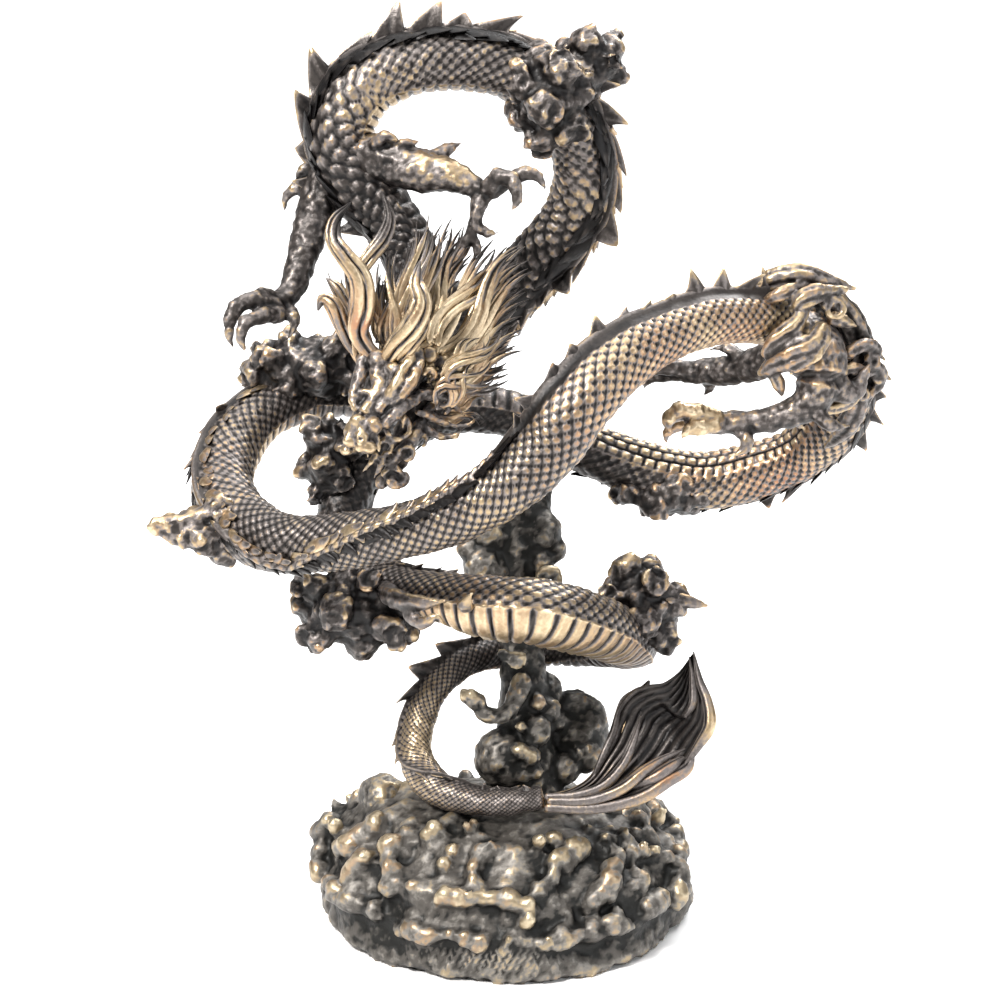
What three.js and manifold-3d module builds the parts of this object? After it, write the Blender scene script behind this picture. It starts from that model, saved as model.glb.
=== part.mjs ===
// A cast bronze dragon coiled round a rising column of rock, on a round mound of wave-worn rock.
// Millimetres, +Z up. The origin is the centre of the mound's flat underside, and the dragon looks
// out towards -Y. Two castings: the dragon with its clouds, and the rock base with its column.
import * as THREE from "three";
import { mergeVertices } from "three/addons/utils/BufferGeometryUtils.js";
import Module from "manifold-3d";

const wasm = await Module();
wasm.setup();

// ---------------------------------------------------------------- driving sizes
const clearance = 0.4; // between the two castings, where they touch
const bodySides = 8;
const bodySteps = 68;
const finSpacing = 13; // from fin to fin along the back
const finHeight = 4.4; // of the tallest fins, above the back
const baseRadius = 40; // the mound at its widest
const baseHeight = 28.5; // top of the mound under the tail
const scallopDepth = 0.9; // how far the mound's ribs stand out
const moundLean = 0.11; // how much higher its left side is than its middle, as a share
const moundDrop = 0.45; // how much it falls away towards the back, as a share
const bronze = new THREE.MeshStandardMaterial({ color: 0x6b5a44, roughness: 0.45, metalness: 1 });
const darkBronze = new THREE.MeshStandardMaterial({ color: 0x55504a, roughness: 0.55, metalness: 1 });

// The middle line of the body from the nape to the root of the tail: x, y, z, radius.
const spine = [
  [-14.5, -16, 133.5, 4.6], [-20, -7, 148, 5.3], [-30, -2, 160.5, 6.5], [-32, 0, 168, 6.7],
  [-28, 2, 175.5, 6.5], [-19.5, 3, 179.5, 6.1], [-9.5, 4, 180.5, 5.9], [0.5, 5, 178.5, 6],
  [9, 6, 172.5, 6.2], [14.5, 8, 163.5, 6.2], [15.5, 9, 154, 6.3], [11.5, 11, 144.5, 6.3],
  [-2, 16, 128, 6], [-10.5, 19, 118.5, 5.9], [-20, 22, 111.5, 5.7], [-31, 24, 107, 5.3],
  [-41.5, 22, 106.5, 5.3], [-51, 16, 104, 5.7], [-56.5, 8, 99, 6.2], [-58, -1, 94, 6.4],
  [-54, -11, 90, 6.5], [-46, -20, 88.5, 6.2], [-36, -27, 90.5, 5.5], [-26, -32, 93.5, 5.5],
  [-17, -35, 96.5, 5.4], [-8, -37, 100.5, 5.8], [1, -38, 106, 6.1], [8, -37, 113, 6.7],
  [13.5, -35, 120.5, 7.1], [19.5, -31, 126.5, 6.7], [27, -26, 130.5, 6], [36, -20, 133, 5.5],
  [46, -12, 132.5, 5.5], [57, -3, 129.5, 6], [66, 4, 122.5, 6.3], [69.5, 9, 113.5, 6.4],
  [68, 14, 103.5, 6.3], [62, 18, 95.5, 5.9], [53, 20, 91, 6], [42.5, 21, 88.5, 6.2],
  [32, 21, 90, 6.2], [22.5, 21, 93.5, 5.7], [12.5, 21, 98, 5.3], [3, 20, 103, 4.9],
  [-7.5, 19, 105, 4.9], [-18, 17, 103.5, 5], [-26.5, 12, 99.5, 5.2], [-32.5, 8, 92, 5.2],
  [-34.5, 4, 84, 5.2], [-31.5, -2, 77, 5], [-23.5, -10, 75, 4.7], [-14, -18, 76, 5],
  [-4, -24, 76, 6.2], [5.5, -25, 75.5, 6.6], [14.5, -20, 71.5, 6.5], [22.5, -10, 65, 6.2],
  [26.5, 3, 58, 5.5], [20.5, 14, 53.5, 5.2], [11, 18, 52, 4.8], [1, 16, 52, 4.3],
  [-7.5, 10, 52, 3.8], [-14, 4, 48.5, 3.4], [-18, 0, 41.5, 3.6], [-18.5, -6, 35.5, 3.8],
  [-14.5, -13, 32, 3.7], [-7, -18, 31, 3.1], [1.5, -20, 31.5, 2.7], [8, -20, 32.5, 2.3],
];

// Which way the back faces at some of those points: [index in spine, direction].
const backFaces = [
  [0, [-0.7, 0.6, 0.4]], [2, [-1, 0.1, 0.2]], [4, [-0.8, 0, 0.7]], [6, [0, 0, 1]], [8, [0.7, 0, 0.7]],
  [10, [0.9, -0.5, 0]], [12, [0.5, -0.8, -0.3]], [14, [0.1, 0.3, 0.9]], [16, [-0.2, 0.5, 0.9]],
  [18, [-0.8, 0, 0.6]], [20, [-0.6, -0.5, 0.6]], [22, [0, -0.9, 0.5]], [24, [0, -0.7, 0.7]],
  [26, [-0.5, -0.3, 0.8]], [28, [-0.7, -0.1, 0.7]], [31, [-0.1, 0, 1]], [34, [0.8, 0, 0.6]],
  [36, [1, 0, -0.3]], [38, [0.3, -0.2, -1]], [41, [0, -0.2, -1]], [44, [0, 0, -1]], [46, [0.3, 0, -1]],
  [48, [1, 0, 0]], [50, [0, 0.4, 1]], [54, [0, 0.6, 0.8]], [57, [0.2, 0, 1]], [60, [0, 0, 1]],
  [62, [-1, 0, 0.3]], [65, [-0.2, 0.5, 0.8]], [67, [0, 0.5, 0.9]],
];

// ---------------------------------------------------------------- shaping tools
const vec = (p) => new THREE.Vector3(p[0], p[1], p[2]);

// A closed round shape: every vertex of a sphere is set by place(t, angle), where t runs 0 to 1 from
// one pole to the other and the angle runs once round.
function roundShape(sides, steps, place) {
  const geometry = new THREE.SphereGeometry(1, sides, steps);
  const position = geometry.getAttribute("position");
  for (let row = 0; row <= steps; row++) {
    for (let column = 0; column <= sides; column++) {
      const pole = row === 0 || row === steps;
      const angle = pole ? 0 : ((column % sides) / sides) * 2 * Math.PI;
      const p = place(row / steps, angle, pole);
      position.setXYZ(row * (sides + 1) + column, p.x, p.y, p.z);
    }
  }
  return toSolid(geometry);
}

function toSolid(geometry) {
  geometry.deleteAttribute("normal");
  geometry.deleteAttribute("uv");
  const merged = mergeVertices(geometry);
  return new wasm.Manifold(
    new wasm.Mesh({
      numProp: 3,
      vertProperties: new Float32Array(merged.attributes.position.array),
      triVerts: new Uint32Array(merged.index.array),
    }),
  );
}

// Joins and cuts can leave loose slivers, so only the largest body is kept.
function largestBody(solid) {
  return solid.decompose().reduce((best, piece) => (piece.volume() > best.volume() ? piece : best));
}

function toMesh(name, solid, material) {
  const data = solid.getMesh();
  const geometry = new THREE.BufferGeometry();
  geometry.setAttribute("position", new THREE.BufferAttribute(data.vertProperties, 3));
  geometry.setIndex(new THREE.BufferAttribute(data.triVerts, 1));
  geometry.computeVertexNormals();
  const mesh = new THREE.Mesh(geometry, material);
  mesh.name = name;
  return mesh;
}

// The frame of a path at t: its middle, its radius, and the two directions across it.
function frameOn(curve, radii, upAt, t) {
  const middle = curve.getPoint(t);
  const along = curve.getTangent(t);
  const side = along.clone().cross(upAt(t)).normalize();
  const up = side.clone().cross(along).normalize();
  const place = t * (radii.length - 1);
  const first = Math.min(Math.floor(place), radii.length - 2);
  const radius = THREE.MathUtils.lerp(radii[first], radii[first + 1], place - first);
  return { middle, along, side, up, radius };
}

// A limb, lock or horn: a tapering tube through points of x, y, z, radius. flat squeezes it
// across `up`, and grow makes it fatter all over.
function limb(points, { sides = 6, steps = 6, flat = 1, up = [0, 0, 1], grow = 0 } = {}) {
  const curve = new THREE.CatmullRomCurve3(points.map(vec), false, "centripetal");
  const radii = points.map((p) => p[3]);
  const upVector = vec(up);
  return roundShape(sides, steps, (t, angle, pole) => {
    const f = frameOn(curve, radii, () => upVector, t);
    if (pole) return f.middle;
    const r = f.radius + grow;
    return f.middle
      .addScaledVector(f.side, Math.cos(angle) * r)
      .addScaledVector(f.up, Math.sin(angle) * r * flat);
  });
}

// A lump of cloud or rock: a ball with a few hollows in it.
function lump([x, y, z, r], { sides = 7, steps = 5, rough = 0.14, grow = 0 } = {}) {
  return roundShape(sides, steps, (t, angle) => {
    const polar = t * Math.PI;
    const bump = 1 + rough * Math.sin(3 * angle + x) * Math.sin(2 * polar + z);
    const radius = r * bump + grow;
    return new THREE.Vector3(
      x + radius * Math.sin(polar) * Math.cos(angle),
      y + radius * Math.sin(polar) * Math.sin(angle),
      z + radius * Math.cos(polar),
    );
  });
}

// A clump of lumps round a middle one, spread by the golden angle.
function cloud([x, y, z, r], stretch, count, options) {
  const parts = [lump([x, y, z, r * 0.82], options)];
  const golden = Math.PI * (3 - Math.sqrt(5));
  const reach = r * 0.62; // from the middle to the middles of the outer lumps
  for (let i = 0; i < count; i++) {
    const height = 1 - (2 * (i + 0.5)) / count;
    const ring = Math.sqrt(1 - height * height);
    const angle = i * golden + x;
    const size = r * (0.42 + 0.1 * Math.sin(i * 2.4 + z));
    parts.push(
      lump(
        [
          x + Math.cos(angle) * ring * reach * stretch[0],
          y + Math.sin(angle) * ring * reach * stretch[1],
          z + height * reach * stretch[2],
          size,
        ],
        options,
      ),
    );
  }
  return parts;
}

// ---------------------------------------------------------------- the body and its fins
const bodyCurve = new THREE.CatmullRomCurve3(spine.map(vec), false, "centripetal");
const bodyRadii = spine.map((p) => p[3]);

function backAt(t) {
  const place = t * (spine.length - 1);
  const next = Math.max(1, backFaces.findIndex(([index]) => index >= place));
  const [startIndex, start] = backFaces[next - 1];
  const [endIndex, end] = backFaces[next];
  const share = THREE.MathUtils.clamp((place - startIndex) / (endIndex - startIndex), 0, 1);
  return vec(start).lerp(vec(end), share).normalize();
}

function body(grow) {
  const bellyFlat = 0.88; // the belly is a little flatter than the back
  return roundShape(bodySides, bodySteps, (t, angle, pole) => {
    const f = frameOn(bodyCurve, bodyRadii, backAt, t);
    if (pole) return f.middle;
    const lift = Math.sin(angle);
    const r = f.radius + grow;
    return f.middle
      .addScaledVector(f.side, Math.cos(angle) * r)
      .addScaledVector(f.up, lift * r * (lift < 0 ? bellyFlat : 1));
  });
}

// How tall the fins are at some points of the spine: [index in spine, share of finHeight].
const finShares = [
  [0, 0.8], [4, 1], [11, 0.8], [15, 0.5], [18, 0.7], [21, 0.3], [25, 0.35], [27, 0.8], [32, 1],
  [40, 0.7], [44, 0.4], [52, 0.4], [58, 0.7], [67, 0.5],
];

function between(table, place) {
  const next = Math.max(1, table.findIndex(([index]) => index >= place));
  const [startIndex, start] = table[next - 1];
  const [endIndex, end] = table[next];
  return THREE.MathUtils.mapLinear(place, startIndex, endIndex, start, end);
}

// A backswept blade that stands on the back at t, from a root inside the body to its tip.
function fin(t, height, grow) {
  const f = frameOn(bodyCurve, bodyRadii, backAt, t);
  const halfLength = 3.8;
  const halfThickness = 1;
  const sweep = 0.6; // how far the tip trails behind, as a share of the height
  const rows = [
    { lift: f.radius * 0.5, swept: 0 },
    { lift: f.radius * 0.9, swept: 0 },
    { lift: f.radius + height, swept: sweep * height },
  ];
  return roundShape(4, 2, (s, angle, pole) => {
    const { lift, swept } = rows[Math.round(s * 2)];
    const point = f.middle.clone().addScaledVector(f.up, lift).addScaledVector(f.along, swept);
    if (pole) return point;
    return point
      .addScaledVector(f.along, Math.cos(angle) * (halfLength + grow))
      .addScaledVector(f.side, Math.sin(angle) * (halfThickness + grow));
  });
}

function fins(grow) {
  const length = bodyCurve.getLength();
  const parts = [];
  const firstFin = 44; // the mane covers the neck up to here
  const lastFin = length - 45; // the end of the tail carries none
  for (let s = firstFin, i = 0; s < lastFin; s += finSpacing, i++) {
    const t = bodyCurve.getUtoTmapping(s / length);
    const height = finHeight * between(finShares, t * (spine.length - 1)) * (i % 2 ? 0.75 : 1);
    parts.push(fin(t, height, grow));
  }
  return parts;
}

// ---------------------------------------------------------------- head and mane
const skull = [
  [-15, -16, 137, 4.3], [-17.5, -22, 131.5, 6.2], [-21.5, -29, 126, 5.6], [-25, -35, 120.5, 4],
  [-29.5, -39.5, 115.5, 3.2],
];
const jaw = [[-15.5, -23, 123, 4.2], [-18.5, -29.5, 116, 3], [-21.5, -34, 109, 2.4]];
const bristles = [[-12, -22, 127, 4.5], [-9, -22, 124, 4.5], [-6, -21, 120, 2]];
const browLeft = [[-26, -34, 124, 1.8], [-24.5, -32, 128.5, 2.2], [-21.5, -27, 131, 1.4]];
const browRight = [[-22, -36, 121.5, 1.8], [-19, -34, 125.5, 2.4], [-16, -28, 130, 1.6]];
const nostrils = [[-29.5, -38, 117, 2.6], [-26, -39.5, 116, 2.6]];
const horns = [
  [
    [-21, -26, 127, 2.2], [-26, -29.5, 134, 2.8], [-24.5, -31, 142.5, 3.2], [-29, -29, 148.5, 2.8],
    [-33.5, -26, 153, 2], [-30, -23, 158, 0.5],
  ],
  [[-27.5, -29, 146, 1.8], [-25, -26.5, 151.5, 2], [-22, -24, 155, 1.7], [-23.5, -22, 160, 0.4]],
  [[-20.5, -28, 125.5, 2.4], [-18, -33, 134.5, 3.2], [-15, -31, 141, 2.8], [-16.5, -27, 148, 0.5]],
  [
    [-22, -26, 126, 1.8], [-29, -28, 131.5, 2], [-31.5, -27, 137.5, 2], [-33.5, -24, 140.5, 1.6],
    [-36, -22, 137.5, 0.5],
  ],
];
// Tips of the locks that stream from the nape, from the left round to the right and down.
const maneTips = [
  [-28, -20, 150], [-21, -17, 155], [-14, -18, 151], [-6, -15, 148], [1, -12, 144],
  [1, -19, 138], [2.5, -18, 132], [-2, -22, 124.5], [-8, -26, 117],
];

function head(grow) {
  const options = { sides: 7, steps: 6, up: [0, -1, 1], grow };
  const parts = [limb(skull, options), limb(jaw, { ...options, sides: 5, steps: 4 })];
  parts.push(limb(bristles, { sides: 5, steps: 3, grow }));
  for (const points of [browLeft, browRight]) parts.push(limb(points, { sides: 5, steps: 4, grow }));
  for (const at of nostrils) parts.push(lump(at, { sides: 5, steps: 3, rough: 0, grow }));
  for (const points of horns) parts.push(limb(points, { sides: 5, steps: 6, flat: 0.8, up: [0, 1, 0], grow }));
  return parts;
}

function mane(grow) {
  const nape = new THREE.Vector3(-15.5, -20, 131);
  return maneTips.map(([x, y, z], i) => {
    const tip = new THREE.Vector3(x, y, z);
    const root = nape.clone().lerp(tip, 0.1);
    const middle = nape.clone().lerp(tip, 0.55);
    middle.y -= 2.2;
    middle.z += 1.5 * Math.sin(i * 2.1);
    const points = [
      [root.x, root.y, root.z, 4],
      [middle.x, middle.y, middle.z, 3.1],
      [tip.x, tip.y, tip.z, 0.4],
    ];
    return limb(points, { sides: 4, steps: 4, flat: 0.75, up: [0, 1, 0], grow });
  });
}

// ---------------------------------------------------------------- legs
// Each leg is one limb and its toes, all of x, y, z, radius. The last point of a toe is its claw.
const legs = [
  {
    limb: [
      [-33, 0, 164, 4.8], [-37.5, -4, 153, 3.7], [-40, -10, 144.5, 3.3], [-42.5, -15, 138, 2.5],
      [-46.5, -19, 136, 2.3],
    ],
    toes: [
      [[-44, -18, 136, 2], [-48.5, -21, 138.5, 1.7], [-53, -23, 136.5, 1.5], [-53, -25, 130, 0.3]],
      [[-43, -18, 135, 1.8], [-47, -24, 135.5, 1.5], [-50.5, -27, 134, 1.1], [-50.5, -28, 130.5, 0.3]],
      [[-43, -17, 136, 1.7], [-41.5, -19, 134, 1.2], [-42.5, -19, 130.5, 0.3]],
    ],
    elbow: [[-38, -2, 156, 2], [-40.5, -1, 155.5, 1.5], [-43.5, 0, 150.5, 0.3]],
  },
  {
    limb: [
      [-29, -2, 164, 5], [-24.5, -6, 163, 4.4], [-16, -10, 161.5, 4], [-10.5, -12, 161, 3.2],
      [-6, -14, 159, 2.2], [-3, -16, 157, 1.8],
    ],
    toes: [
      [[-4, -15, 158, 1.9], [-1, -18, 162, 1.6], [1.5, -20.5, 163.5, 1.3], [2, -22, 159.5, 0.3]],
      [[-4, -15, 158, 1.9], [0.5, -16, 160.5, 1.5], [4.5, -17, 162.5, 1.2], [8, -17, 159, 0.3]],
      [[-4.5, -15, 158, 1.9], [-5.5, -17, 156, 1.4], [-6.5, -18, 153, 1.1], [-3, -19, 151.5, 0.3]],
      [[-5, -14, 157, 1.8], [-6, -15, 152, 1.2], [-7.5, -15, 148.5, 1], [-10, -15, 145.5, 0.3]],
    ],
    elbow: [[-15, -9, 162, 2], [-12, -7, 165, 1.2], [-8.5, -5, 165.5, 0.3]],
  },
  {
    limb: [
      [56, -4, 129, 6.2], [62, -11, 123.5, 6.4], [61, -14, 116.5, 3.8], [53, -15, 112.5, 2.6],
      [45.5, -14, 111.5, 2.5], [39, -14, 111.5, 2.1],
    ],
    toes: [
      [[43, -14, 112, 2.2], [38, -16, 114, 1.7], [34, -17, 114.5, 1.5], [31, -18, 111.5, 0.4]],
      [[43, -14, 111, 2.1], [39, -12, 110, 1.6], [34.5, -12, 109.5, 1.3], [31.5, -12, 106.5, 0.3]],
      [[46, -14, 111, 2], [48, -17, 108, 1.2], [46, -18, 105.5, 0.3]],
    ],
    elbow: [[63, -12, 121, 3], [69, -11, 117, 2.5], [73, -9, 122.5, 0.4]],
  },
  {
    limb: [
      [60, 3, 124, 4.5], [53.5, 9, 118, 3.4], [47, 14, 114, 2.9], [41, 17, 111.5, 2.3], [36, 18.5, 111, 1.9],
    ],
    toes: [
      [[38, 18, 111.5, 1.8], [33, 17, 112.5, 1.4], [29, 18, 109.5, 0.3]],
      [[38, 18, 111, 1.8], [33, 21, 110, 1.4], [30, 22, 107, 0.3]],
      [[41, 17, 111, 1.8], [42, 20, 108, 1.2], [40.5, 20, 105, 0.3]],
    ],
    elbow: [[50, 12, 116, 2], [46, 13, 119.5, 1.3], [42, 14, 119, 0.3]],
  },
];
const hipFlames = [
  [[57, -6, 134, 3], [64, -6, 136.5, 2.4], [70.5, -5, 135, 0.4]],
  [[59, -8, 130, 3.2], [66, -10, 131.5, 2.6], [74, -8, 126.5, 0.4]],
  [[63, -12, 123, 3.5], [69, -12, 124, 2.6], [75.5, -8, 119.5, 0.4]],
  [[64, -10, 118, 3.2], [70, -8, 113, 3], [75, -4, 110.5, 0.4]],
];
const tuckedPaws = [
  [[-24, -9, 75, 3.4], [-22, -22, 77, 2.8], [-16, -28, 78, 1.5], [-11.5, -30.5, 80, 0.3]],
  [[-23, -13, 75, 3], [-19, -26, 76, 1.7], [-16.5, -30, 73, 0.3]],
  [[26, -6, 70, 3.2], [33.5, -6, 71, 2], [38, -6, 70.5, 1.5], [42, -6, 70, 0.4]],
  [[-7.5, -25, 77, 2.2], [-8, -31, 79, 1.6], [-6.5, -33, 82.5, 0.3]],
];

function legParts(grow) {
  const parts = [];
  for (const leg of legs) {
    parts.push(limb(leg.limb, { sides: 6, steps: 7, grow }));
    for (const toe of leg.toes) parts.push(limb(toe, { sides: 4, steps: 3, grow }));
    parts.push(limb(leg.elbow, { sides: 4, steps: 3, grow }));
  }
  for (const points of [...hipFlames, ...tuckedPaws]) parts.push(limb(points, { sides: 4, steps: 3, grow }));
  return parts;
}

// ---------------------------------------------------------------- clouds that cling to the body
// Middle and size, how far the lumps spread along x, y and z, and how many stand round the middle one.
const clouds = [
  [[9, 3, 173.5, 9.5], [1, 1, 1.2], 4],
  [[17, 8, 179.5, 7], [1.2, 1, 1.1], 3],
  [[-41, 21, 113, 9], [1.9, 0.9, 0.9], 4],
  [[-36.5, 5, 97, 7], [0.8, 1, 1.8], 3],
  [[-58, -12, 89, 8], [1.3, 1, 0.8], 2],
  [[-29, -8, 70.5, 10.5], [1.6, 1, 1], 4],
  [[28, -3, 68.5, 9.5], [1, 1, 1.2], 4],
  [[34, 18, 86, 6.5], [1.8, 1, 0.7], 2],
];
const cloudTail = [[-58, -13, 88.5, 5], [-66, -16, 90, 3.2], [-72, -17, 91, 0.5]];
// Bars of cloud that tie the nape and the chin to the coils behind them.
const neckStrut = [[-16, -14, 138, 3], [-8, 8, 131, 3.5], [-3, 15, 128, 3]];
const headStrut = [[-19, -24, 124, 4.5], [-22, -8, 113, 4.2], [-24, 12, 104, 4]];

function cloudParts(grow) {
  const options = { sides: 5, steps: 4, grow };
  const parts = clouds.flatMap(([at, stretch, count]) => cloud(at, stretch, count, options));
  for (const points of [cloudTail, neckStrut, headStrut]) parts.push(limb(points, options));
  return parts;
}

// ---------------------------------------------------------------- the tail's tuft
// A fan of hair like a cupped hand: its middle line as x, y, z and half its width there, then the
// lobes that stand out from its edge, as limbs.
const tuftLine = [
  [4, -20, 31.5, 2], [11, -20, 32.3, 2.6], [17, -19.5, 34, 4.4], [24.7, -17, 38.8, 7],
  [30.5, -14.5, 43.5, 8.8], [35, -11.5, 47.5, 8.4], [38.8, -8.5, 53, 4.5], [39.3, -7, 58.3, 0.5],
];
const tuftLobes = [
  [[24, -12, 42, 3], [27, -8.5, 48.5, 3], [30, -6.5, 52.8, 0.6]],
  [[34, -12, 45, 3], [40.5, -11.5, 47.5, 3], [42.8, -10, 50.5, 0.6]],
  [[26, -19, 36, 3], [34, -18.5, 37.5, 3], [40, -16.5, 40, 0.6]],
];
const tuftThickness = 2.2;
const tuftCup = 0.42; // how far the edges turn forward, as a share of half the width

function tuft(grow) {
  const curve = new THREE.CatmullRomCurve3(tuftLine.map(vec), false, "centripetal");
  const halfWidths = tuftLine.map((p) => p[3]);
  const front = vec([0.35, -1, 0.35]);
  const sheet = roundShape(8, 7, (t, angle, pole) => {
    const f = frameOn(curve, halfWidths, () => front, t);
    if (pole) return f.middle;
    const across = Math.cos(angle);
    const forward = Math.sin(angle) * (tuftThickness / 2 + grow) + tuftCup * f.radius * across ** 2;
    return f.middle.addScaledVector(f.side, across * (f.radius + grow)).addScaledVector(f.up, forward);
  });
  const lobeOptions = { sides: 5, steps: 4, flat: 0.5, up: front.toArray(), grow };
  return [sheet, ...tuftLobes.map((points) => limb(points, lobeOptions))];
}

// ---------------------------------------------------------------- the whole dragon
function dragonSolid(grow) {
  const parts = [
    body(grow),
    ...fins(grow),
    ...head(grow),
    ...mane(grow),
    ...legParts(grow),
    ...cloudParts(grow),
    ...tuft(grow),
  ];
  return largestBody(wasm.Manifold.union(parts));
}

// ---------------------------------------------------------------- the rock base
// The mound's outline from its flat underside up to the top, in worn ledges: share of baseRadius,
// share of baseHeight.
const moundOutline = [
  [0, 0], [0.95, 0], [0.99, 0.05], [0.97, 0.26], [0.99, 0.36], [0.94, 0.44], [0.9, 0.62], [0.8, 0.7],
  [0.7, 0.86], [0.5, 0.95], [0, 1],
];
const ribs = 11; // ribs of worn rock round the mound

// A point on the mound: degrees round from the front towards +X, and the row's two shares.
function moundPoint(degrees, [radiusShare, heightShare], out = 0) {
  const angle = THREE.MathUtils.degToRad(degrees);
  const skirt = Math.sin(Math.PI * heightShare);
  const wave = skirt * (Math.sin(ribs * angle) + 0.8 * Math.sin(5 * angle + 6 * heightShare));
  const radius = radiusShare * baseRadius + scallopDepth * wave * radiusShare + out;
  const x = radius * Math.sin(angle);
  const y = -radius * Math.cos(angle);
  const lean = 1 - (moundLean * x) / baseRadius;
  const drop = 1 - moundDrop * Math.max(0, y / baseRadius + 0.12);
  return new THREE.Vector3(x, y, heightShare * baseHeight * lean * drop);
}

function mound() {
  const segments = 28;
  const profile = moundOutline.map(([r, z]) => new THREE.Vector2(r * baseRadius, z * baseHeight));
  const geometry = new THREE.LatheGeometry(profile, segments);
  const position = geometry.getAttribute("position");
  for (let column = 0; column <= segments; column++) {
    for (let row = 0; row < profile.length; row++) {
      const p = moundPoint(((column % segments) / segments) * 360, moundOutline[row]);
      const onAxis = moundOutline[row][0] === 0;
      position.setXYZ(column * profile.length + row, onAxis ? 0 : p.x, onAxis ? 0 : p.y, p.z);
    }
  }
  return toSolid(geometry);
}

// Ridges of knobs that run over the mound like coral: where each starts and ends, as degrees round
// from the front and a share of the mound's height, then how many knobs and how big.
const ridges = [
  [[-96, 0.8], [-76, 0.25], 4, 3.4], [[-46, 0.74], [-38, 0.5], 3, 3.4], [[-22, 0.6], [5, 0.6], 3, 3.2],
  [[-9, 0.62], [-11, 0.86], 2, 3], [[10, 0.66], [34, 0.88], 3, 3], [[26, 0.5], [46, 0.78], 3, 3.2],
  [[60, 0.34], [76, 0.54], 3, 3.2], [[-68, 0.36], [-40, 0.34], 3, 3.2], [[-30, 0.34], [-4, 0.34], 3, 3.2],
  [[10, 0.33], [40, 0.35], 3, 3.2], [[92, 0.4], [112, 0.7], 3, 3.4],
  [[135, 0.35], [165, 0.4], 3, 3.6], [[-150, 0.35], [-112, 0.45], 3, 3.6],
];

function ridge([[startTurn, startHeight], [endTurn, endHeight], knobs, size]) {
  const points = [];
  for (let i = 0; i <= 2 * knobs; i++) {
    const share = i / (2 * knobs);
    const height = THREE.MathUtils.lerp(startHeight, endHeight, share);
    const row = Math.max(1, moundOutline.findIndex(([, z]) => z >= height));
    const [innerRadius, innerHeight] = moundOutline[row];
    const [outerRadius, outerHeight] = moundOutline[row - 1];
    const radius = THREE.MathUtils.mapLinear(height, outerHeight, innerHeight, outerRadius, innerRadius);
    const p = moundPoint(THREE.MathUtils.lerp(startTurn, endTurn, share), [radius, height], -size * 0.25);
    const knob = i % 2 ? size : size * 0.62; // knobs with necks between them
    points.push([p.x, p.y, p.z, knob]);
  }
  return limb(points, { sides: 4, steps: 2 * knobs, up: [0, 0, 1] });
}

// The column of rock that rises from the mound inside the coil, with its lumps and curls.
const column = [
  [4, 1, 6, 12], [4, 1, 24, 9.5], [4, 1, 36, 7], [4, 3, 47, 5.6], [3.5, 5, 57, 5], [2.5, 6, 68, 5.5],
  [2.5, 7, 77, 6], [4, 9, 84, 5.4], [6, 12, 90, 4], [6.5, 17, 95.5, 2.6],
];
const columnLumps = [
  [-0.5, -4, 35, 6.2], [14.5, 8, 37, 8.2], [6.5, -4, 41, 3.6], [4, -7, 34, 3.2], [8, 6, 46, 4.6],
  [-4.5, 2, 75.5, 4.8], [-3.5, 5, 82, 4.8], [7.5, 6, 82, 4.6], [7.8, 3, 76, 2.8], [-26, -2, 25, 5.4],
  [26, -4, 21, 5],
];
const columnCurl = [
  [-9.2, -6, 51.5, 0.8], [-6.5, -7, 48.6, 1.7], [-3, -6.5, 45.5, 1.8], [0.6, -5, 47.3, 2], [3.5, -1, 52, 2],
];

function baseSolid(keepClearOf) {
  const parts = [mound(), limb(column, { sides: 7, steps: 9, up: [0, 1, 0] })];
  for (const at of columnLumps) parts.push(lump(at, { sides: 5, steps: 4, rough: 0.2 }));
  parts.push(limb(columnCurl, { sides: 5, steps: 5 }));
  parts.push(...ridges.map(ridge));
  return largestBody(wasm.Manifold.union(parts).subtract(keepClearOf));
}

const dragon = toMesh("dragon", dragonSolid(0), bronze);
const rockBase = toMesh("rock_base", baseSolid(dragonSolid(clearance)), darkBronze);
const sculpture = new THREE.Group();
sculpture.add(rockBase, dragon);

export default sculpture;
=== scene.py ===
# An antique bronze dragon coiled round a rising column of rock, on a round mound of wave-worn rock.
# Metres, +Z up. The tables are in millimetres and become metres as each shape is made.
import math
import random
import bpy
import numpy as np
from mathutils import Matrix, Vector, noise


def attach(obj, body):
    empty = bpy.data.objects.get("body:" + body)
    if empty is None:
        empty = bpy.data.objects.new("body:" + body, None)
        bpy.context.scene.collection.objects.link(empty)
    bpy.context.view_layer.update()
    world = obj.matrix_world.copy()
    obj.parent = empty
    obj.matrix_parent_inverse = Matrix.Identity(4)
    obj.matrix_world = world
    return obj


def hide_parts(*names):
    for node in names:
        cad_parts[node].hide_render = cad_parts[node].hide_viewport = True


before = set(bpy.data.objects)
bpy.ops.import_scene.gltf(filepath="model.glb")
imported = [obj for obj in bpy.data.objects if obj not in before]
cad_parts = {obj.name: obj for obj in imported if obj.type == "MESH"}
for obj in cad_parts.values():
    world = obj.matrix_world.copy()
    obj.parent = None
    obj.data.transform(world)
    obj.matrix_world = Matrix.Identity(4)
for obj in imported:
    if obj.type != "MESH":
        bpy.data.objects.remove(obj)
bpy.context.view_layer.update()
mm = 0.001
dice = random.Random(7)


# shaping tools: paths, round shapes that follow them, joining, melting together, roughening
def unit(rows):
    return rows / np.maximum(np.linalg.norm(rows, axis=1, keepdims=True), 1e-9)


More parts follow.
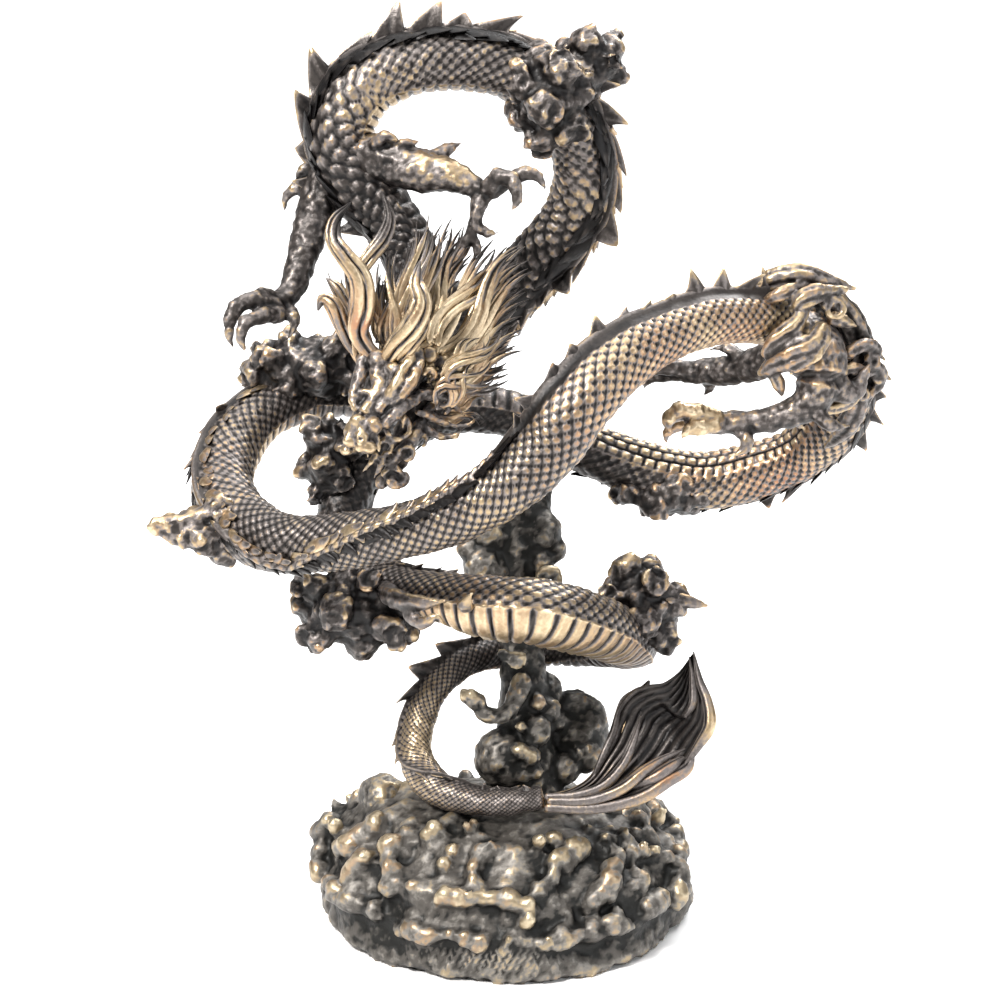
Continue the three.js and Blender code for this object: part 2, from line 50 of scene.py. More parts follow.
class Path:  # a smooth line through rows of x, y, z, radius
    def __init__(self, points, up=(0, 0, 1), faces=None):
        self.rows = np.array(points, float)
        self.count = len(self.rows)
        self.up = np.array(up, float)
        self.faces = faces  # which way its upper side faces: [index, direction]
        first = 2 * self.rows[0] - self.rows[1]
        last = 2 * self.rows[-1] - self.rows[-2]
        self.padded = np.vstack([first, self.rows, last])
        fine = np.linspace(0, 1, 40 * self.count)
        steps = np.linalg.norm(np.diff(self.place(fine)[0], axis=0), axis=1)
        self.fine = fine
        self.run = np.concatenate([[0], np.cumsum(steps)])
        self.length = self.run[-1]

    def place(self, t):  # its middles, directions and radii at t
        spot = np.clip(t, 0, 1) * (self.count - 1)
        i = np.minimum(spot.astype(int), self.count - 2)
        w = (spot - i)[:, None]
        p0, p1, p2, p3 = (self.padded[i + k] for k in range(4))
        d0, d1, d2 = (
            np.maximum(np.linalg.norm((b - a)[:, :3], axis=1, keepdims=True) ** 0.5, 1e-3)
            for a, b in ((p0, p1), (p1, p2), (p2, p3))
        )
        m1 = d1 * ((p1 - p0) / d0 - (p2 - p0) / (d0 + d1) + (p2 - p1) / d1)
        m2 = d1 * ((p2 - p1) / d1 - (p3 - p1) / (d1 + d2) + (p3 - p2) / d2)
        c2 = 3 * (p2 - p1) - 2 * m1 - m2
        c3 = 2 * (p1 - p2) + m1 + m2
        spots = p1 + w * (m1 + w * (c2 + w * c3))
        slopes = m1 + w * (2 * c2 + 3 * w * c3)
        return spots[:, :3], unit(slopes[:, :3]), np.maximum(spots[:, 3], 0.02)

    def atLength(self, s):  # t at a length along it
        return np.interp(s, self.run, self.fine)

    def upAt(self, t):
        if self.faces is None:
            return np.broadcast_to(self.up, (len(t), 3))
        spots = [index for index, _ in self.faces]
        ways = np.array([way for _, way in self.faces], float)
        spot = t * (self.count - 1)
        return unit(np.stack([np.interp(spot, spots, ways[:, k]) for k in range(3)], 1))

    def frame(self, t):
        middle, along, radius = self.place(t)
        side = unit(np.cross(along, self.upAt(t)))
        return middle, along, side, np.cross(side, along), radius


def deselectAll():
    bpy.ops.object.select_all(action="DESELECT")


def readPoints(mesh):
    flat = np.empty(len(mesh.vertices) * 3, np.float32)
    mesh.vertices.foreach_get("co", flat)
    return flat.reshape(-1, 3).astype(float)


def readNormals(mesh):
    flat = np.empty(len(mesh.vertices) * 3, np.float32)
    mesh.vertices.foreach_get("normal", flat)
    return flat.reshape(-1, 3).astype(float)


def writePoints(mesh, points):
    mesh.vertices.foreach_set("co", points.astype(np.float32).ravel())
    mesh.update()


# A ball whose every point is moved: place(t, angle) with t from 0 to 1, pole to pole. In millimetres.
def roundShape(sides, rings, place):
    deselectAll()
    bpy.ops.mesh.primitive_uv_sphere_add(segments=sides, ring_count=rings, radius=1)
    shape = bpy.context.object
    ball = readPoints(shape.data)
    t = np.arccos(np.clip(ball[:, 2], -1, 1)) / math.pi
    angle = np.arctan2(ball[:, 1], ball[:, 0])
    writePoints(shape.data, place(t, angle) * mm)
    return shape


# A limb, lock or horn. flat squeezes it, flutes cut grooves along it, blunt rounds its ends.
def limb(points, sides=12, rings=16, flat=1.0, up=(0, 0, 1), flutes=0, depth=0.2, blunt=True, twist=0.0):
    path = Path(points, up)

    def place(t, angle):
        share = 0.5 - 0.5 * np.cos(math.pi * t) if blunt else t
        middle, along, side, across, radius = path.frame(path.atLength(share * path.length))
        reach = share * path.length
        first, last = path.rows[0][3], path.rows[-1][3]
        cap = np.sqrt(1 - (1 - np.clip(reach / max(first * 0.8, 0.05), 0, 1)) ** 2)
        cap *= np.sqrt(1 - (1 - np.clip((path.length - reach) / max(last, 0.05), 0, 1)) ** 2)
        turn = angle + twist * share
        groove = 1 - depth * (1 - np.abs(np.sin(flutes * turn / 2))) ** 2 if flutes else 1.0
        wide = (np.cos(angle) * radius * cap * groove)[:, None]
        thick = (np.sin(angle) * radius * cap * groove * flat)[:, None]
        return middle + side * wide + across * thick

    return roundShape(sides, rings, place)


def ball(at, size, stretch=(1, 1, 1), sides=16, rings=10):
    centre, scale = np.array(at, float), np.array(stretch, float) * size

    def place(t, angle):
        out = np.stack([np.sin(math.pi * t) * np.cos(angle), np.sin(math.pi * t) * np.sin(angle),
                        np.cos(math.pi * t)], 1)
        return centre + out * scale

    return roundShape(sides, rings, place)


def join(parts, name):
    deselectAll()
    for part in parts:
        part.select_set(True)
    bpy.context.view_layer.objects.active = parts[0]
    if len(parts) > 1:
        bpy.ops.object.join()
    whole = bpy.context.object
    whole.name = whole.data.name = name
    return whole


def applyModifier(shape, modifier):
    deselectAll()
    shape.select_set(True)
    bpy.context.view_layer.objects.active = shape
    bpy.ops.object.modifier_apply(modifier=modifier.name)


# Parts that overlap become one cast skin.
def melt(shape, voxel, smooth=2):
    modifier = shape.modifiers.new("melt", "REMESH")
    modifier.mode = "VOXEL"
    modifier.voxel_size = voxel * mm
    applyModifier(shape, modifier)
    if smooth:
        modifier = shape.modifiers.new("smooth", "SMOOTH")
        modifier.factor = 0.5
        modifier.iterations = smooth
        applyModifier(shape, modifier)
    return shape


# Pushes a skin in and out by a pattern: how big its lumps are and how far it moves, in millimetres.
def roughen(shape, pattern, size, strength, level=0.5, **settings):
    texture = bpy.data.textures.new("lumps", pattern)
    texture.noise_scale = size * mm
    for key, value in settings.items():
        setattr(texture, key, value)
    modifier = shape.modifiers.new("roughen", "DISPLACE")
    modifier.texture = texture
    modifier.texture_coords = "LOCAL"
    modifier.strength = strength * mm
    modifier.mid_level = level
    applyModifier(shape, modifier)
    return shape


def grain(points, size, seed=0.0):  # soft noise from -1 to 1 at points in millimetres
    shift = Vector((seed, seed * 1.7, -seed))
    return np.array([noise.noise(Vector(p) / size + shift) for p in points])


# How far each point stands above the skin round it: the skin is smoothed and compared. Millimetres.
def standsOut(mesh, rounds):
    points = readPoints(mesh)
    edges = np.empty(len(mesh.edges) * 2, np.int32)
    mesh.edges.foreach_get("vertices", edges)
    a, b = edges.reshape(-1, 2).T
    count = len(points)
    share = 1 / np.maximum(np.bincount(a, minlength=count) + np.bincount(b, minlength=count), 1)
    soft = points.copy()
    for _ in range(rounds):
        for axis in range(3):
            values = soft[:, axis]
            near = np.bincount(a, values[b], count) + np.bincount(b, values[a], count)
            soft[:, axis] = 0.4 * values + 0.6 * near * share
    return ((points - soft) * readNormals(mesh)).sum(1) / mm


# Where years of hands have rubbed the bronze bright, and, with a negative amount, where it is made darker: x, y, z,
# reach, how much.
brightAndDarkSpots = [
    [-28, -41, 117, 4.5, 0.35], [-19, -38, 128, 4, 0.3], [-24, -37, 125, 3.5, 0.25], [-28, -33, 142, 7, 0.15], [-18, -34, 140, 7, 0.15],
    [42, -16, 133, 22, 0.22], [20, -32, 126, 12, 0.12], [-4, -26, 74, 16, 0.16],
    [-18.5, 0, 36, 10, 0.25], [-72, -17, 91, 10, 0.3], [-57, -2, 98, 14, 0.15],
    [15, 6, 160, 12, 0.2], [-10, 2, 178, 16, 0.1], [-27, -4, 176, 8, 0.3], [-31, -4, 166, 6, 0.2],
    [-16, -11, 163, 4, 0.4], [-9, -13, 163, 4, 0.4], [38, -18, 114, 6, 0.3],
    [50, 14, 90, 14, 0.1], [36, -16, 110, 9, 0.2], [62, -14, 124, 7, 0.25], [70, -9, 112, 6, 0.2],
    [-36, -22, 20, 9, 0.3], [-10, -38, 16, 9, 0.18], [-6, -31, 19, 9, 0.22], [-22, -22, 21, 7, 0.2],
    [-14, -14, 130, 9, -0.12], [4, 6, 45, 16, -0.15], [-32, 4, 90, 9, -0.1], [-22, 22, 106, 18, -0.15],
    [-10, 20, 104, 14, -0.15], [12, 12, 88, 14, -0.2], [30, -38, 8, 14, -0.2], [-30, -34, 4, 12, -0.2],
]
# Where the bronze shows red-brown through the gold: the same.
ruddySpots = [
    [14, -35, 121, 8, 0.8], [27, -27, 129, 6, 0.7], [43, -18, 128, 6, 0.8], [55, 14, 92, 11, 0.8],
    [-2, 14, 51, 7, 0.8], [-27, -33, 136, 3.5, 0.7], [8, 2, 170, 4, 0.5], [31, -19, 38, 5, 0.7],
]


# Writes how rubbed each point is and how red-brown it shows. Raised edges and the listed spots come out rubbed, which
# is the real gold. The same value, low in fine and broad hollows, gives the patina its painted shade, and a little
# higher it gives the painted sheen.
def markRubAndShade(shape, level, fine=(3, 4.0), broad=(24, 1.2), extra=None, paintedTopLight=0.0, spots=1.0):
    mesh = shape.data
    rubAndShade = level + fine[1] * standsOut(mesh, fine[0]) + broad[1] * standsOut(mesh, broad[0])
    # Painted top light: skin that faces up counts as more rubbed, so it takes the painted sheen and the gold sooner.
    rubAndShade += paintedTopLight * readNormals(mesh)[:, 2]
    points = readPoints(mesh) / mm
    for x, y, z, reach, much in brightAndDarkSpots:
        rubAndShade += much * spots * np.exp(-((points - (x, y, z)) ** 2).sum(1) / reach ** 2)
    if extra is not None:
        rubAndShade += extra
    ruddy = np.zeros(len(points))
    for x, y, z, reach, much in ruddySpots:
        ruddy += much * np.exp(-((points - (x, y, z)) ** 2).sum(1) / reach ** 2)
    for name, values in (("rubAndShade", rubAndShade), ("ruddy", ruddy)):
        layer = mesh.attributes.new(name, "FLOAT", "POINT")
        layer.data.foreach_set("value", np.clip(values, 0, 1).astype(np.float32))


def finishPiece(shape, node, material, angle=60):
    deselectAll()
    shape.select_set(True)
    bpy.context.view_layer.objects.active = shape
    bpy.ops.object.shade_smooth_by_angle(angle=math.radians(angle))
    shape.data.materials.clear()
    shape.data.materials.append(material)
    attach(shape, "root")
    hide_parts(node)
    print(shape.name, len(shape.data.polygons), "faces")
    return shape


# camera, light and floor
cameraSetup = {"place": (-0.001, -0.57063, 0.27601), "tiltDegrees": 72, "lens": 104.65, "sensor": 36}
lightSetup = {  # name: place, aims at, size, watts, colour
    "keyLight": ((-0.5, -0.55, 0.85), (0, 0, 0.1), 0.22, 18.0, (1.0, 0.97, 0.94)),
    "fillLight": ((0.75, -0.6, 0.45), (0, 0, 0.1), 0.5, 3.0, (0.95, 0.97, 1.0)),
    "rimLight": ((0.4, 0.55, 0.75), (0, 0, 0.12), 0.35, 7.0, (1.0, 1.0, 1.0)),
    "ceiling": ((0, 0.6, 2.2), (0, 0.6, 0), 3.4, 92.0, (1.0, 1.0, 1.0)),
}
bpy.ops.object.camera_add(location=cameraSetup["place"])
camera = bpy.context.object
camera.rotation_euler = (math.radians(cameraSetup["tiltDegrees"]), 0, 0)
camera.data.lens = cameraSetup["lens"]
camera.data.sensor_width = cameraSetup["sensor"]
camera.data.clip_start = 0.01
bpy.context.scene.camera = camera
for lightName, (place, aim, size, watts, colour) in lightSetup.items():
    bpy.ops.object.light_add(type="AREA", location=place)
    light = bpy.context.object
    light.name = lightName
    light.rotation_euler = (Vector(aim) - Vector(place)).to_track_quat("-Z", "Y").to_euler()
    light.data.size = size
    light.data.energy = watts
    light.data.color = colour
world = bpy.data.worlds.new("studio")
bpy.context.scene.world = world
world.use_nodes = True
world.node_tree.nodes["Background"].inputs["Color"].default_value = (1, 1, 1, 1)
world.node_tree.nodes["Background"].inputs["Strength"].default_value = 0.3
bpy.context.scene.view_settings.view_transform = "Standard"


# materials
class Wire:  # one socket of a material, so that sums and products of wires add their own nodes
    def __init__(self, tree, socket=None):
        self.tree, self.socket = tree, socket

    def node(self, kind, settings=None, values=None, output=0):
        made = self.tree.nodes.new(kind)
        for key, value in (settings or {}).items():
            setattr(made, key, value)
        for key, value in (values or {}).items():
            if isinstance(value, Wire):
                self.tree.links.new(value.socket, made.inputs[key])
            else:
                made.inputs[key].default_value = value
        return Wire(self.tree, made.outputs[output])

    def maths(self, operation, first, second):
        return self.node("ShaderNodeMath", {"operation": operation}, {0: first, 1: second})

    def __add__(self, other):
        return self.maths("ADD", self, other)

    def __radd__(self, other):
        return self.maths("ADD", other, self)

    def __sub__(self, other):
        return self.maths("SUBTRACT", self, other)

    def __rsub__(self, other):
        return self.maths("SUBTRACT", other, self)

    def __mul__(self, other):
        return self.maths("MULTIPLY", self, other)

    def __rmul__(self, other):
        return self.maths("MULTIPLY", other, self)

    def spread(self, low, high):  # 0 below low, 1 above high, smooth between
        return self.node("ShaderNodeMapRange", {"interpolation_type": "SMOOTHSTEP"},
                         {0: self, 1: low, 2: high, 3: 0.0, 4: 1.0})

    def blend(self, first, second):  # a colour between two others, by this wire
        return self.node("ShaderNodeMix", {"data_type": "RGBA"}, {0: self, 6: first, 7: second}, 2)


# In each finish the darkest colour is painted shade: the patina falls to near black in the hollows.
finishes = {
    "dragon_bronze": {
        # The grey colour is a painted sheen for the raised edges of the patina.
        "paintedHollowShade": (0.004, 0.003, 0.003, 1), "patina": (0.036, 0.030, 0.027, 1), "paintedSheen": (0.17, 0.15, 0.142, 1),
        "gold": (0.36, 0.27, 0.165, 1), "pale": (0.62, 0.50, 0.34, 1), "ruddy": (0.33, 0.16, 0.09, 1),
        "patinaRough": 0.42, "goldRough": 0.38,
    },
    "rock_bronze": {
        "paintedHollowShade": (0.008, 0.008, 0.007, 1), "patina": (0.075, 0.068, 0.060, 1), "paintedSheen": (0.19, 0.178, 0.16, 1),
        "gold": (0.33, 0.265, 0.175, 1), "pale": (0.52, 0.44, 0.31, 1), "ruddy": (0.30, 0.17, 0.11, 1),
        "patinaRough": 0.5, "goldRough": 0.42,
    },
}


def castBronze(name):
    finish = finishes[name]
    material = bpy.data.materials.new(name)
    material.use_nodes = True
    tree = material.node_tree
    shader = tree.nodes["Principled BSDF"]
    start = Wire(tree)
    spots = start.node("ShaderNodeTexCoord", output=3)

    def speckle(scale, detail):
        return start.node("ShaderNodeTexNoise", values={"Vector": spots, "Scale": scale, "Detail": detail})

    fineGrain, midGrain, patches = speckle(1500, 3), speckle(420, 2), speckle(85, 2)
    # How rubbed each point is: low values give painted shade, a little higher painted sheen, and high values the real
    # gold.
    rubAndShade = start.node("ShaderNodeAttribute", {"attribute_name": "rubAndShade"}, output=2)
    ruddy = start.node("ShaderNodeAttribute", {"attribute_name": "ruddy"}, output=2)
    rubbed = rubAndShade + (fineGrain - 0.5) * 0.35 + (midGrain - 0.5) * 0.25 + (patches - 0.5) * 0.4
    gilt = rubbed.spread(0.54, 0.76)
    bright = rubbed.spread(0.74, 1.1)
    # Painted shade: where the skin lies low, the patina falls to near black.
    skin = (rubAndShade + (midGrain - 0.5) * 0.3).spread(0.1, 0.36).blend(finish["paintedHollowShade"], finish["patina"])
    # Painted sheen: the raised edges of the dark patina turn pale grey, a highlight painted into the colour.
    skin = (rubAndShade + (fineGrain - 0.5) * 0.3 + (patches - 0.5) * 0.3).spread(0.34, 0.62).blend(skin, finish["paintedSheen"])
    metal = ((1 - patches).spread(0.45, 0.62) * 0.35 + ruddy * 0.9).blend(finish["gold"], finish["ruddy"])
    metal = bright.blend(metal, finish["pale"])
    roughness = finish["patinaRough"] - gilt * (finish["patinaRough"] - finish["goldRough"])
    bump = start.node("ShaderNodeBump", values={
        "Strength": 0.5, "Distance": 0.0003, "Height": fineGrain * 0.6 + midGrain * 0.4})
    for key, wire in {
        "Base Color": gilt.blend(skin, metal), "Metallic": 0.5 + gilt * 0.42,
        "Roughness": roughness + (fineGrain - 0.5) * 0.2, "Normal": bump,
    }.items():
        tree.links.new(wire.socket, shader.inputs[key])
    return material


dragonBronze = castBronze("dragon_bronze")
rockBronze = castBronze("rock_bronze")

bpy.ops.mesh.primitive_plane_add(size=6, location=(0, 0, 0))
floor = bpy.context.object
floor.name = "floor"
paper = bpy.data.materials.new("paper")
paper.use_nodes = True
paper.node_tree.nodes["Principled BSDF"].inputs["Base Color"].default_value = (0.93, 0.93, 0.93, 1)
paper.node_tree.nodes["Principled BSDF"].inputs["Roughness"].default_value = 0.9
floor.data.materials.append(paper)
print("studio ready")


# the body: one long tapering coil, from the nape to the root of the tail's fan
spine = [
    [-14.5, -16, 133.5, 4.6], [-20, -7, 148, 5.3], [-30, -2, 160.5, 6.5], [-32, 0, 168, 6.7],
    [-28, 2, 175.5, 6.5], [-19.5, 3, 179.5, 6.1], [-9.5, 4, 180.5, 5.9], [0.5, 5, 178.5, 6],
    [9, 6, 172.5, 6.2], [14.5, 8, 163.5, 6.2], [15.5, 9, 154, 6.3], [11.5, 11, 144.5, 6.3],
    [-2, 16, 128, 6], [-10.5, 19, 118.5, 5.9], [-20, 22, 111.5, 5.7], [-31, 24, 107, 5.3],
    [-41.5, 22, 106.5, 5.3], [-51, 16, 104, 5.7], [-56.5, 8, 99, 6.2], [-58, -1, 94, 6.4],
    [-54, -11, 90, 6.5], [-46, -20, 88.5, 6.2], [-36, -27, 90.5, 5.5], [-26, -32, 93.5, 5.5],
    [-17, -35, 96.5, 5.4], [-8, -37, 100.5, 5.8], [1, -38, 106, 6.1], [8, -37, 113, 6.7],
    [13.5, -35, 120.5, 7.1], [19.5, -31, 126.5, 6.7], [27, -26, 130.5, 6], [36, -20, 133, 5.5],
    [46, -12, 132.5, 5.5], [57, -3, 129.5, 6], [66, 4, 122.5, 6.3], [69.5, 9, 113.5, 6.4],
    [68, 14, 103.5, 6.3], [62, 18, 95.5, 5.9], [53, 20, 91, 6], [42.5, 21, 88.5, 6.2],
    [32, 21, 90, 6.2], [22.5, 21, 93.5, 5.7], [12.5, 21, 98, 5.3], [3, 20, 103, 4.9],
    [-7.5, 19, 105, 4.9], [-18, 17, 103.5, 5], [-26.5, 12, 99.5, 5.2], [-32.5, 8, 92, 5.2],
    [-34.5, 4, 84, 5.2], [-31.5, -2, 77, 5], [-23.5, -10, 75, 4.7], [-14, -18, 76, 5],
    [-4, -24, 76, 6.2], [5.5, -25, 75.5, 6.6], [14.5, -20, 71.5, 6.5], [22.5, -10, 65, 6.2],
    [26.5, 3, 58, 5.5], [20.5, 14, 53.5, 5.2], [11, 18, 52, 4.8], [1, 16, 52, 4.3],
    [-7.5, 10, 52, 3.8], [-14, 4, 48.5, 3.4], [-18, 0, 41.5, 3.6], [-18.5, -6, 35.5, 3.8],
    [-14.5, -13, 32, 3.7], [-7, -18, 31, 3.1], [1.5, -20, 31.5, 2.7], [8, -20, 32.5, 2.3],
]
backFaces = [
    [0, [-0.7, 0.6, 0.4]], [2, [-1, 0.1, 0.2]], [4, [-0.8, 0, 0.7]], [6, [0, 0, 1]], [8, [0.7, 0, 0.7]],
    [10, [0.9, -0.5, 0]], [12, [0.5, -0.8, -0.3]], [14, [0.1, 0.3, 0.9]], [16, [-0.2, 0.5, 0.9]],
    [18, [-0.85, -0.2, 0.5]], [20, [-0.5, -0.8, 0.2]], [21.6, [0, -0.9, -0.35]], [22.3, [0, -1, 0.1]],
    [23.1, [0, -0.86, 0.5]], [24.4, [0, -0.6, 0.8]], [25.3, [-0.1, -0.4, 0.9]], [26.2, [-0.5, 0.1, 0.8]],
    [28, [-0.7, -0.1, 0.7]], [31, [-0.1, 0, 1]], [34, [0.8, 0, 0.6]],
    [36, [1, 0, -0.3]], [38, [0.3, 0.2, -1]], [41, [0, 0.3, -1]], [44, [0, 0.3, -1]], [46, [0.3, 0.2, -1]],
    [48, [1, 0, 0]], [50, [0, 0.5, 0.9]], [51.2, [0, 0.85, 0.5]], [54.8, [0, 0.88, 0.48]], [57, [0.2, 0.2, 1]],
    [60, [0, 0, 1]], [62, [-1, 0, 0.3]], [65, [-0.2, 0.5, 0.8]], [67, [0, 0.5, 0.9]],
]
bodyPath = Path(spine, faces=backFaces)

bodySizes = {
    "scaleColumns": 16,  # scales round the body
    "scaleRow": 0.2,  # half a scale's length, as a share of the body's radius
    "scaleHeight": 0.5, "leafHeight": 1.5, "plateHeight": 0.8, "ridgeHeight": 1.2,
    "bellyHalfWidth": 50,  # degrees either side of the belly's middle
    "bellyFlat": 0.88,
}
# Along the spine: [index, share]. How coarse and leafy the scales are, how strong the belly's plates are,
# how much the plates part into beads, a plate's length in radii, how rubbed the scales are, and how many
# degrees each side of the back stay plain and dark.
leafShares = [[0, 1], [3.2, 1], [4.4, 0.35], [7.5, 0.1], [9, 0.3], [9.8, 0.7], [11, 1], [13.5, 0.8], [15, 0.2],
              [17, 0.35], [19.5, 0.3], [21, 0], [37, 0], [40, 0.35], [46, 0.6], [49, 0.3], [51, 0], [67, 0]]
bellyShares = [[0, 0.4], [3, 1], [9, 0.3], [14, 1], [19, 0.6], [21, 0.35], [34, 0.3], [37, 1], [50, 0.6],
               [51.3, 1], [60, 1], [62, 0.2], [67, 0]]
beadShares = [[0, 0], [34.8, 0], [35, 1], [42.8, 1], [43, 0], [67, 0]]
plateLengths = [[0, 0.5], [36, 0.5], [38, 0.42], [42, 0.5], [45, 0.7], [48, 0.6], [50, 0.5], [67, 0.45]]
rubShares = [[0, 0.25], [3, 0.27], [4.4, 0.38], [8, 0.36], [9, 0.3], [10, 0.62], [11.5, 0.36], [15, 0.36], [17, 0.56],
             [19.5, 0.5], [21, 0.4], [24, 0.5], [27, 0.56], [32.5, 0.66], [34, 0.4], [36.5, 0.62], [42, 0.5],
             [45, 0.5], [48, 0.3], [51, 0.52], [55, 0.5], [57, 0.25], [60, 0.5], [63, 0.62], [67, 0.5]]
plainShares = [[0, 12], [9, 10], [14, 14], [20, 10], [21, 0], [26, 0], [27.5, 24], [33, 30], [35, 12], [67, 10]]


def scaleField(column, row, fill=1.0, ramp=0.5):  # height 0 to 1 of staggered overlapping scales
    height = np.zeros_like(column)
    for shiftRow in (-1, 0, 1):
        nearRow = np.round(row) + shiftRow
        offset = np.where(nearRow % 2 == 0, 0.0, 0.5)
        across = column - offset - np.round(column - offset)
        down = (row - nearRow) / 2
        reach = np.abs(across / (0.5 * fill)) ** 1.8 + np.abs(down / np.where(down > 0, 0.44, 0.62) / fill) ** 1.8
        height = np.maximum(height, np.clip(1.12 - reach, 0, 1) ** 0.42 * (1 - ramp * 0.44 + ramp * down))
    return height


# A share read off an [index, share] table at a place along the spine. bodySkin below gives how far the skin stands out
# over the plain tube, in millimetres, and how rubbed it is there.
def along(shares, index):
    return np.interp(index, *zip(*shares))


def bodySkin(t, angle, radius, rows, plates):
    index = t * (bodyPath.count - 1)
    size = bodySizes
    degrees = np.degrees(angle)
    fromBack = (degrees - 90 + 180) % 360 - 180
    fromBelly = (degrees + 90 + 180) % 360 - 180
    leaf = along(leafShares, index)
    small = scaleField(fromBack / 360 * size["scaleColumns"], rows, 0.76)
    large = scaleField(fromBack / 360 * 10 + 0.35 * np.sin(rows * 0.5), rows / 1.8, 1.0, 1.1)
    veins = 0.16 * np.abs(np.sin(fromBack / 360 * 10 * math.pi * 3)) * large * leaf
    scale = np.maximum(small * (1 - leaf * 0.75), (large - veins * 2.5) * leaf)
    height = small * size["scaleHeight"] * (1 - leaf) + (large * size["leafHeight"] - veins) * leaf
    strength = along(bellyShares, index)
    belly = np.clip((size["bellyHalfWidth"] - np.abs(fromBelly)) / 5 + 0.5, 0, 1) * strength
    beads = along(beadShares, index)
    rowOfBeads = np.floor(fromBelly / size["bellyHalfWidth"] * 2 + 4)
    phase = (plates + 0.02 * np.abs(fromBelly) / 10 + 0.5 * beads * (rowOfBeads % 2)) % 1
    plate = np.clip(1.5 * np.sin(math.pi * phase ** 1.15), 0, 1) ** 0.6
    bead = np.abs(np.sin(2 * math.pi * fromBelly / size["bellyHalfWidth"])) ** 0.6
    plate = plate * (1 + np.clip(beads, 0, 1) * (bead - 1))
    cord = np.exp(-((np.abs(fromBelly) - size["bellyHalfWidth"]) / 4) ** 2) * strength
    height = height * (1 - belly) + (plate * size["plateHeight"] - 0.15) * belly + 0.35 * cord
    scale = scale * (1 - belly) + plate * belly
    scale = np.maximum(scale, cord * 0.9)
    plain = np.clip((along(plainShares, index) - np.abs(fromBack)) / 5 + 0.5, 0, 1)
    ridge = np.exp(-(fromBack / 9) ** 2)
    height = height * (1 - plain) + 0.25 * plain + size["ridgeHeight"] * ridge
    scale = scale * (1 - plain) + 0.1 * plain
    return height * np.clip(radius / 5, 0.45, 1.2), scale


fineSteps = np.linspace(0, 1, 9001)
fineMiddles, _, fineRadii = bodyPath.place(fineSteps)
fineRuns = np.linalg.norm(np.diff(fineMiddles, axis=0), axis=1) * 2 / (fineRadii[1:] + fineRadii[:-1])
rowCount = np.concatenate([[0], np.cumsum(fineRuns / bodySizes["scaleRow"])])  # rows of scales from the nape
plateCount = np.concatenate([[0], np.cumsum(fineRuns / along(plateLengths, fineSteps[1:] * (bodyPath.count - 1)))])


# One stretch of the body between two places on the spine. Its ends dip inside the next stretch.
def bodyStretch(name, start, end, sides, ringsPerRow):
    firstRow, lastRow = np.interp([start / (bodyPath.count - 1), end / (bodyPath.count - 1)], fineSteps, rowCount)
    tuck = 1.6  # rows over which each end dips inside its neighbour
    if start > 0:
        firstRow -= tuck
    if end < bodyPath.count - 1:
        lastRow += tuck
    rings = int((lastRow - firstRow) * ringsPerRow)
    kept = {}

    def place(share, angle):
        rows = firstRow + share * (lastRow - firstRow)
        t = np.interp(rows, rowCount, fineSteps)
        middle, along_, side, up, radius = bodyPath.frame(t)
        lift, scale = bodySkin(t, angle, radius, rows, np.interp(t, fineSteps, plateCount))
        wobble = 0.12 * np.sin(rows * 0.37 + 2 * angle) + 0.08 * np.sin(rows * 0.83 - 3 * angle)
        out = radius - 0.25 + lift + wobble
        ends = np.minimum(share, 1 - share) * (lastRow - firstRow)
        out = out - 0.7 * np.clip(1 - ends / tuck, 0, 1)
        out = np.where((share < 1e-6) | (share > 1 - 1e-6), 0, out)
        flat = np.where(np.sin(angle) < 0, bodySizes["bellyFlat"], 1.0)
        kept["rub"] = scale * along(rubShares, t * (bodyPath.count - 1))
        return middle + side * (np.cos(angle) * out)[:, None] + up * (np.sin(angle) * out * flat)[:, None]

    stretch = roundShape(sides, rings, place)
    stretch.name = stretch.data.name = name
    markRubAndShade(stretch, 0.06, (2, 1.6), (20, 0.3), kept["rub"] * 1.15)
    return finishPiece(stretch, "dragon", dragonBronze)


for name, start, end, sides, ringsPerRow in (
    ("coilTop", 0, 8, 84, 2.6), ("coilFalling", 8, 16, 80, 2.4), ("coilLeft", 16, 20.2, 88, 2.6),
    ("coilFront", 20.2, 34, 104, 3), ("coilBack", 34, 50, 72, 2.2), ("coilLower", 50, 56, 104, 3),
    ("coilTail", 56, 67, 64, 2.4),
):
    bodyStretch(name, start, end, sides, ringsPerRow)
print("body done")



def copyShape(template, points):  # another of the same shape, with a mesh of its own
    copied = template.copy()
    copied.data = template.data.copy()
    bpy.context.collection.objects.link(copied)
    writePoints(copied.data, points * mm)
    return copied


# the crest: a thin web along the back that rises in hooked flames. Each row is an index in spine, then the
# height and length of a flame, its sharpness, how far its tip leans and the height of the web.
crestRows = np.array([
    [0, 4.0, 6.0, 1.2, 0.6, 0.9], [4, 6.2, 6.4, 1.1, 0.6, 1.8], [8, 6.0, 6.2, 1.1, 0.5, 1.8],
    [12, 5.6, 6.2, 1.1, 0.4, 1.5], [14.5, 2.8, 5.0, 1.1, 0.5, 0.8], [18, 2.4, 4.6, 1.1, 0.5, 0.9],
    [20, 1.3, 4.0, 1.2, 0.4, 0.5], [25.8, 1.4, 4.0, 1.2, 0.4, 0.6], [27, 3.6, 5.6, 2.0, 0.1, 0.8],
    [28, 5.4, 5.6, 2.2, -0.1, 1.1], [33, 5.2, 6.0, 2.2, -0.05, 1.2], [36, 3.6, 5.6, 1.6, 0.3, 0.8],
    [44, 2.0, 5.0, 1.5, 0.4, 0.4], [52, 1.6, 4.6, 1.4, 0.3, 0.3], [58, 2.2, 5.0, 1.3, 0.4, 0.5],
    [61, 4.4, 6.4, 1.2, 0.5, 0.8], [61.8, 1.6, 4.5, 1.2, 0.4, 0.4], [63, 0.9, 3.6, 1.2, 0.4, 0.2], [66.4, 1.2, 3.4, 1.8, 0.2, 0.2],
])
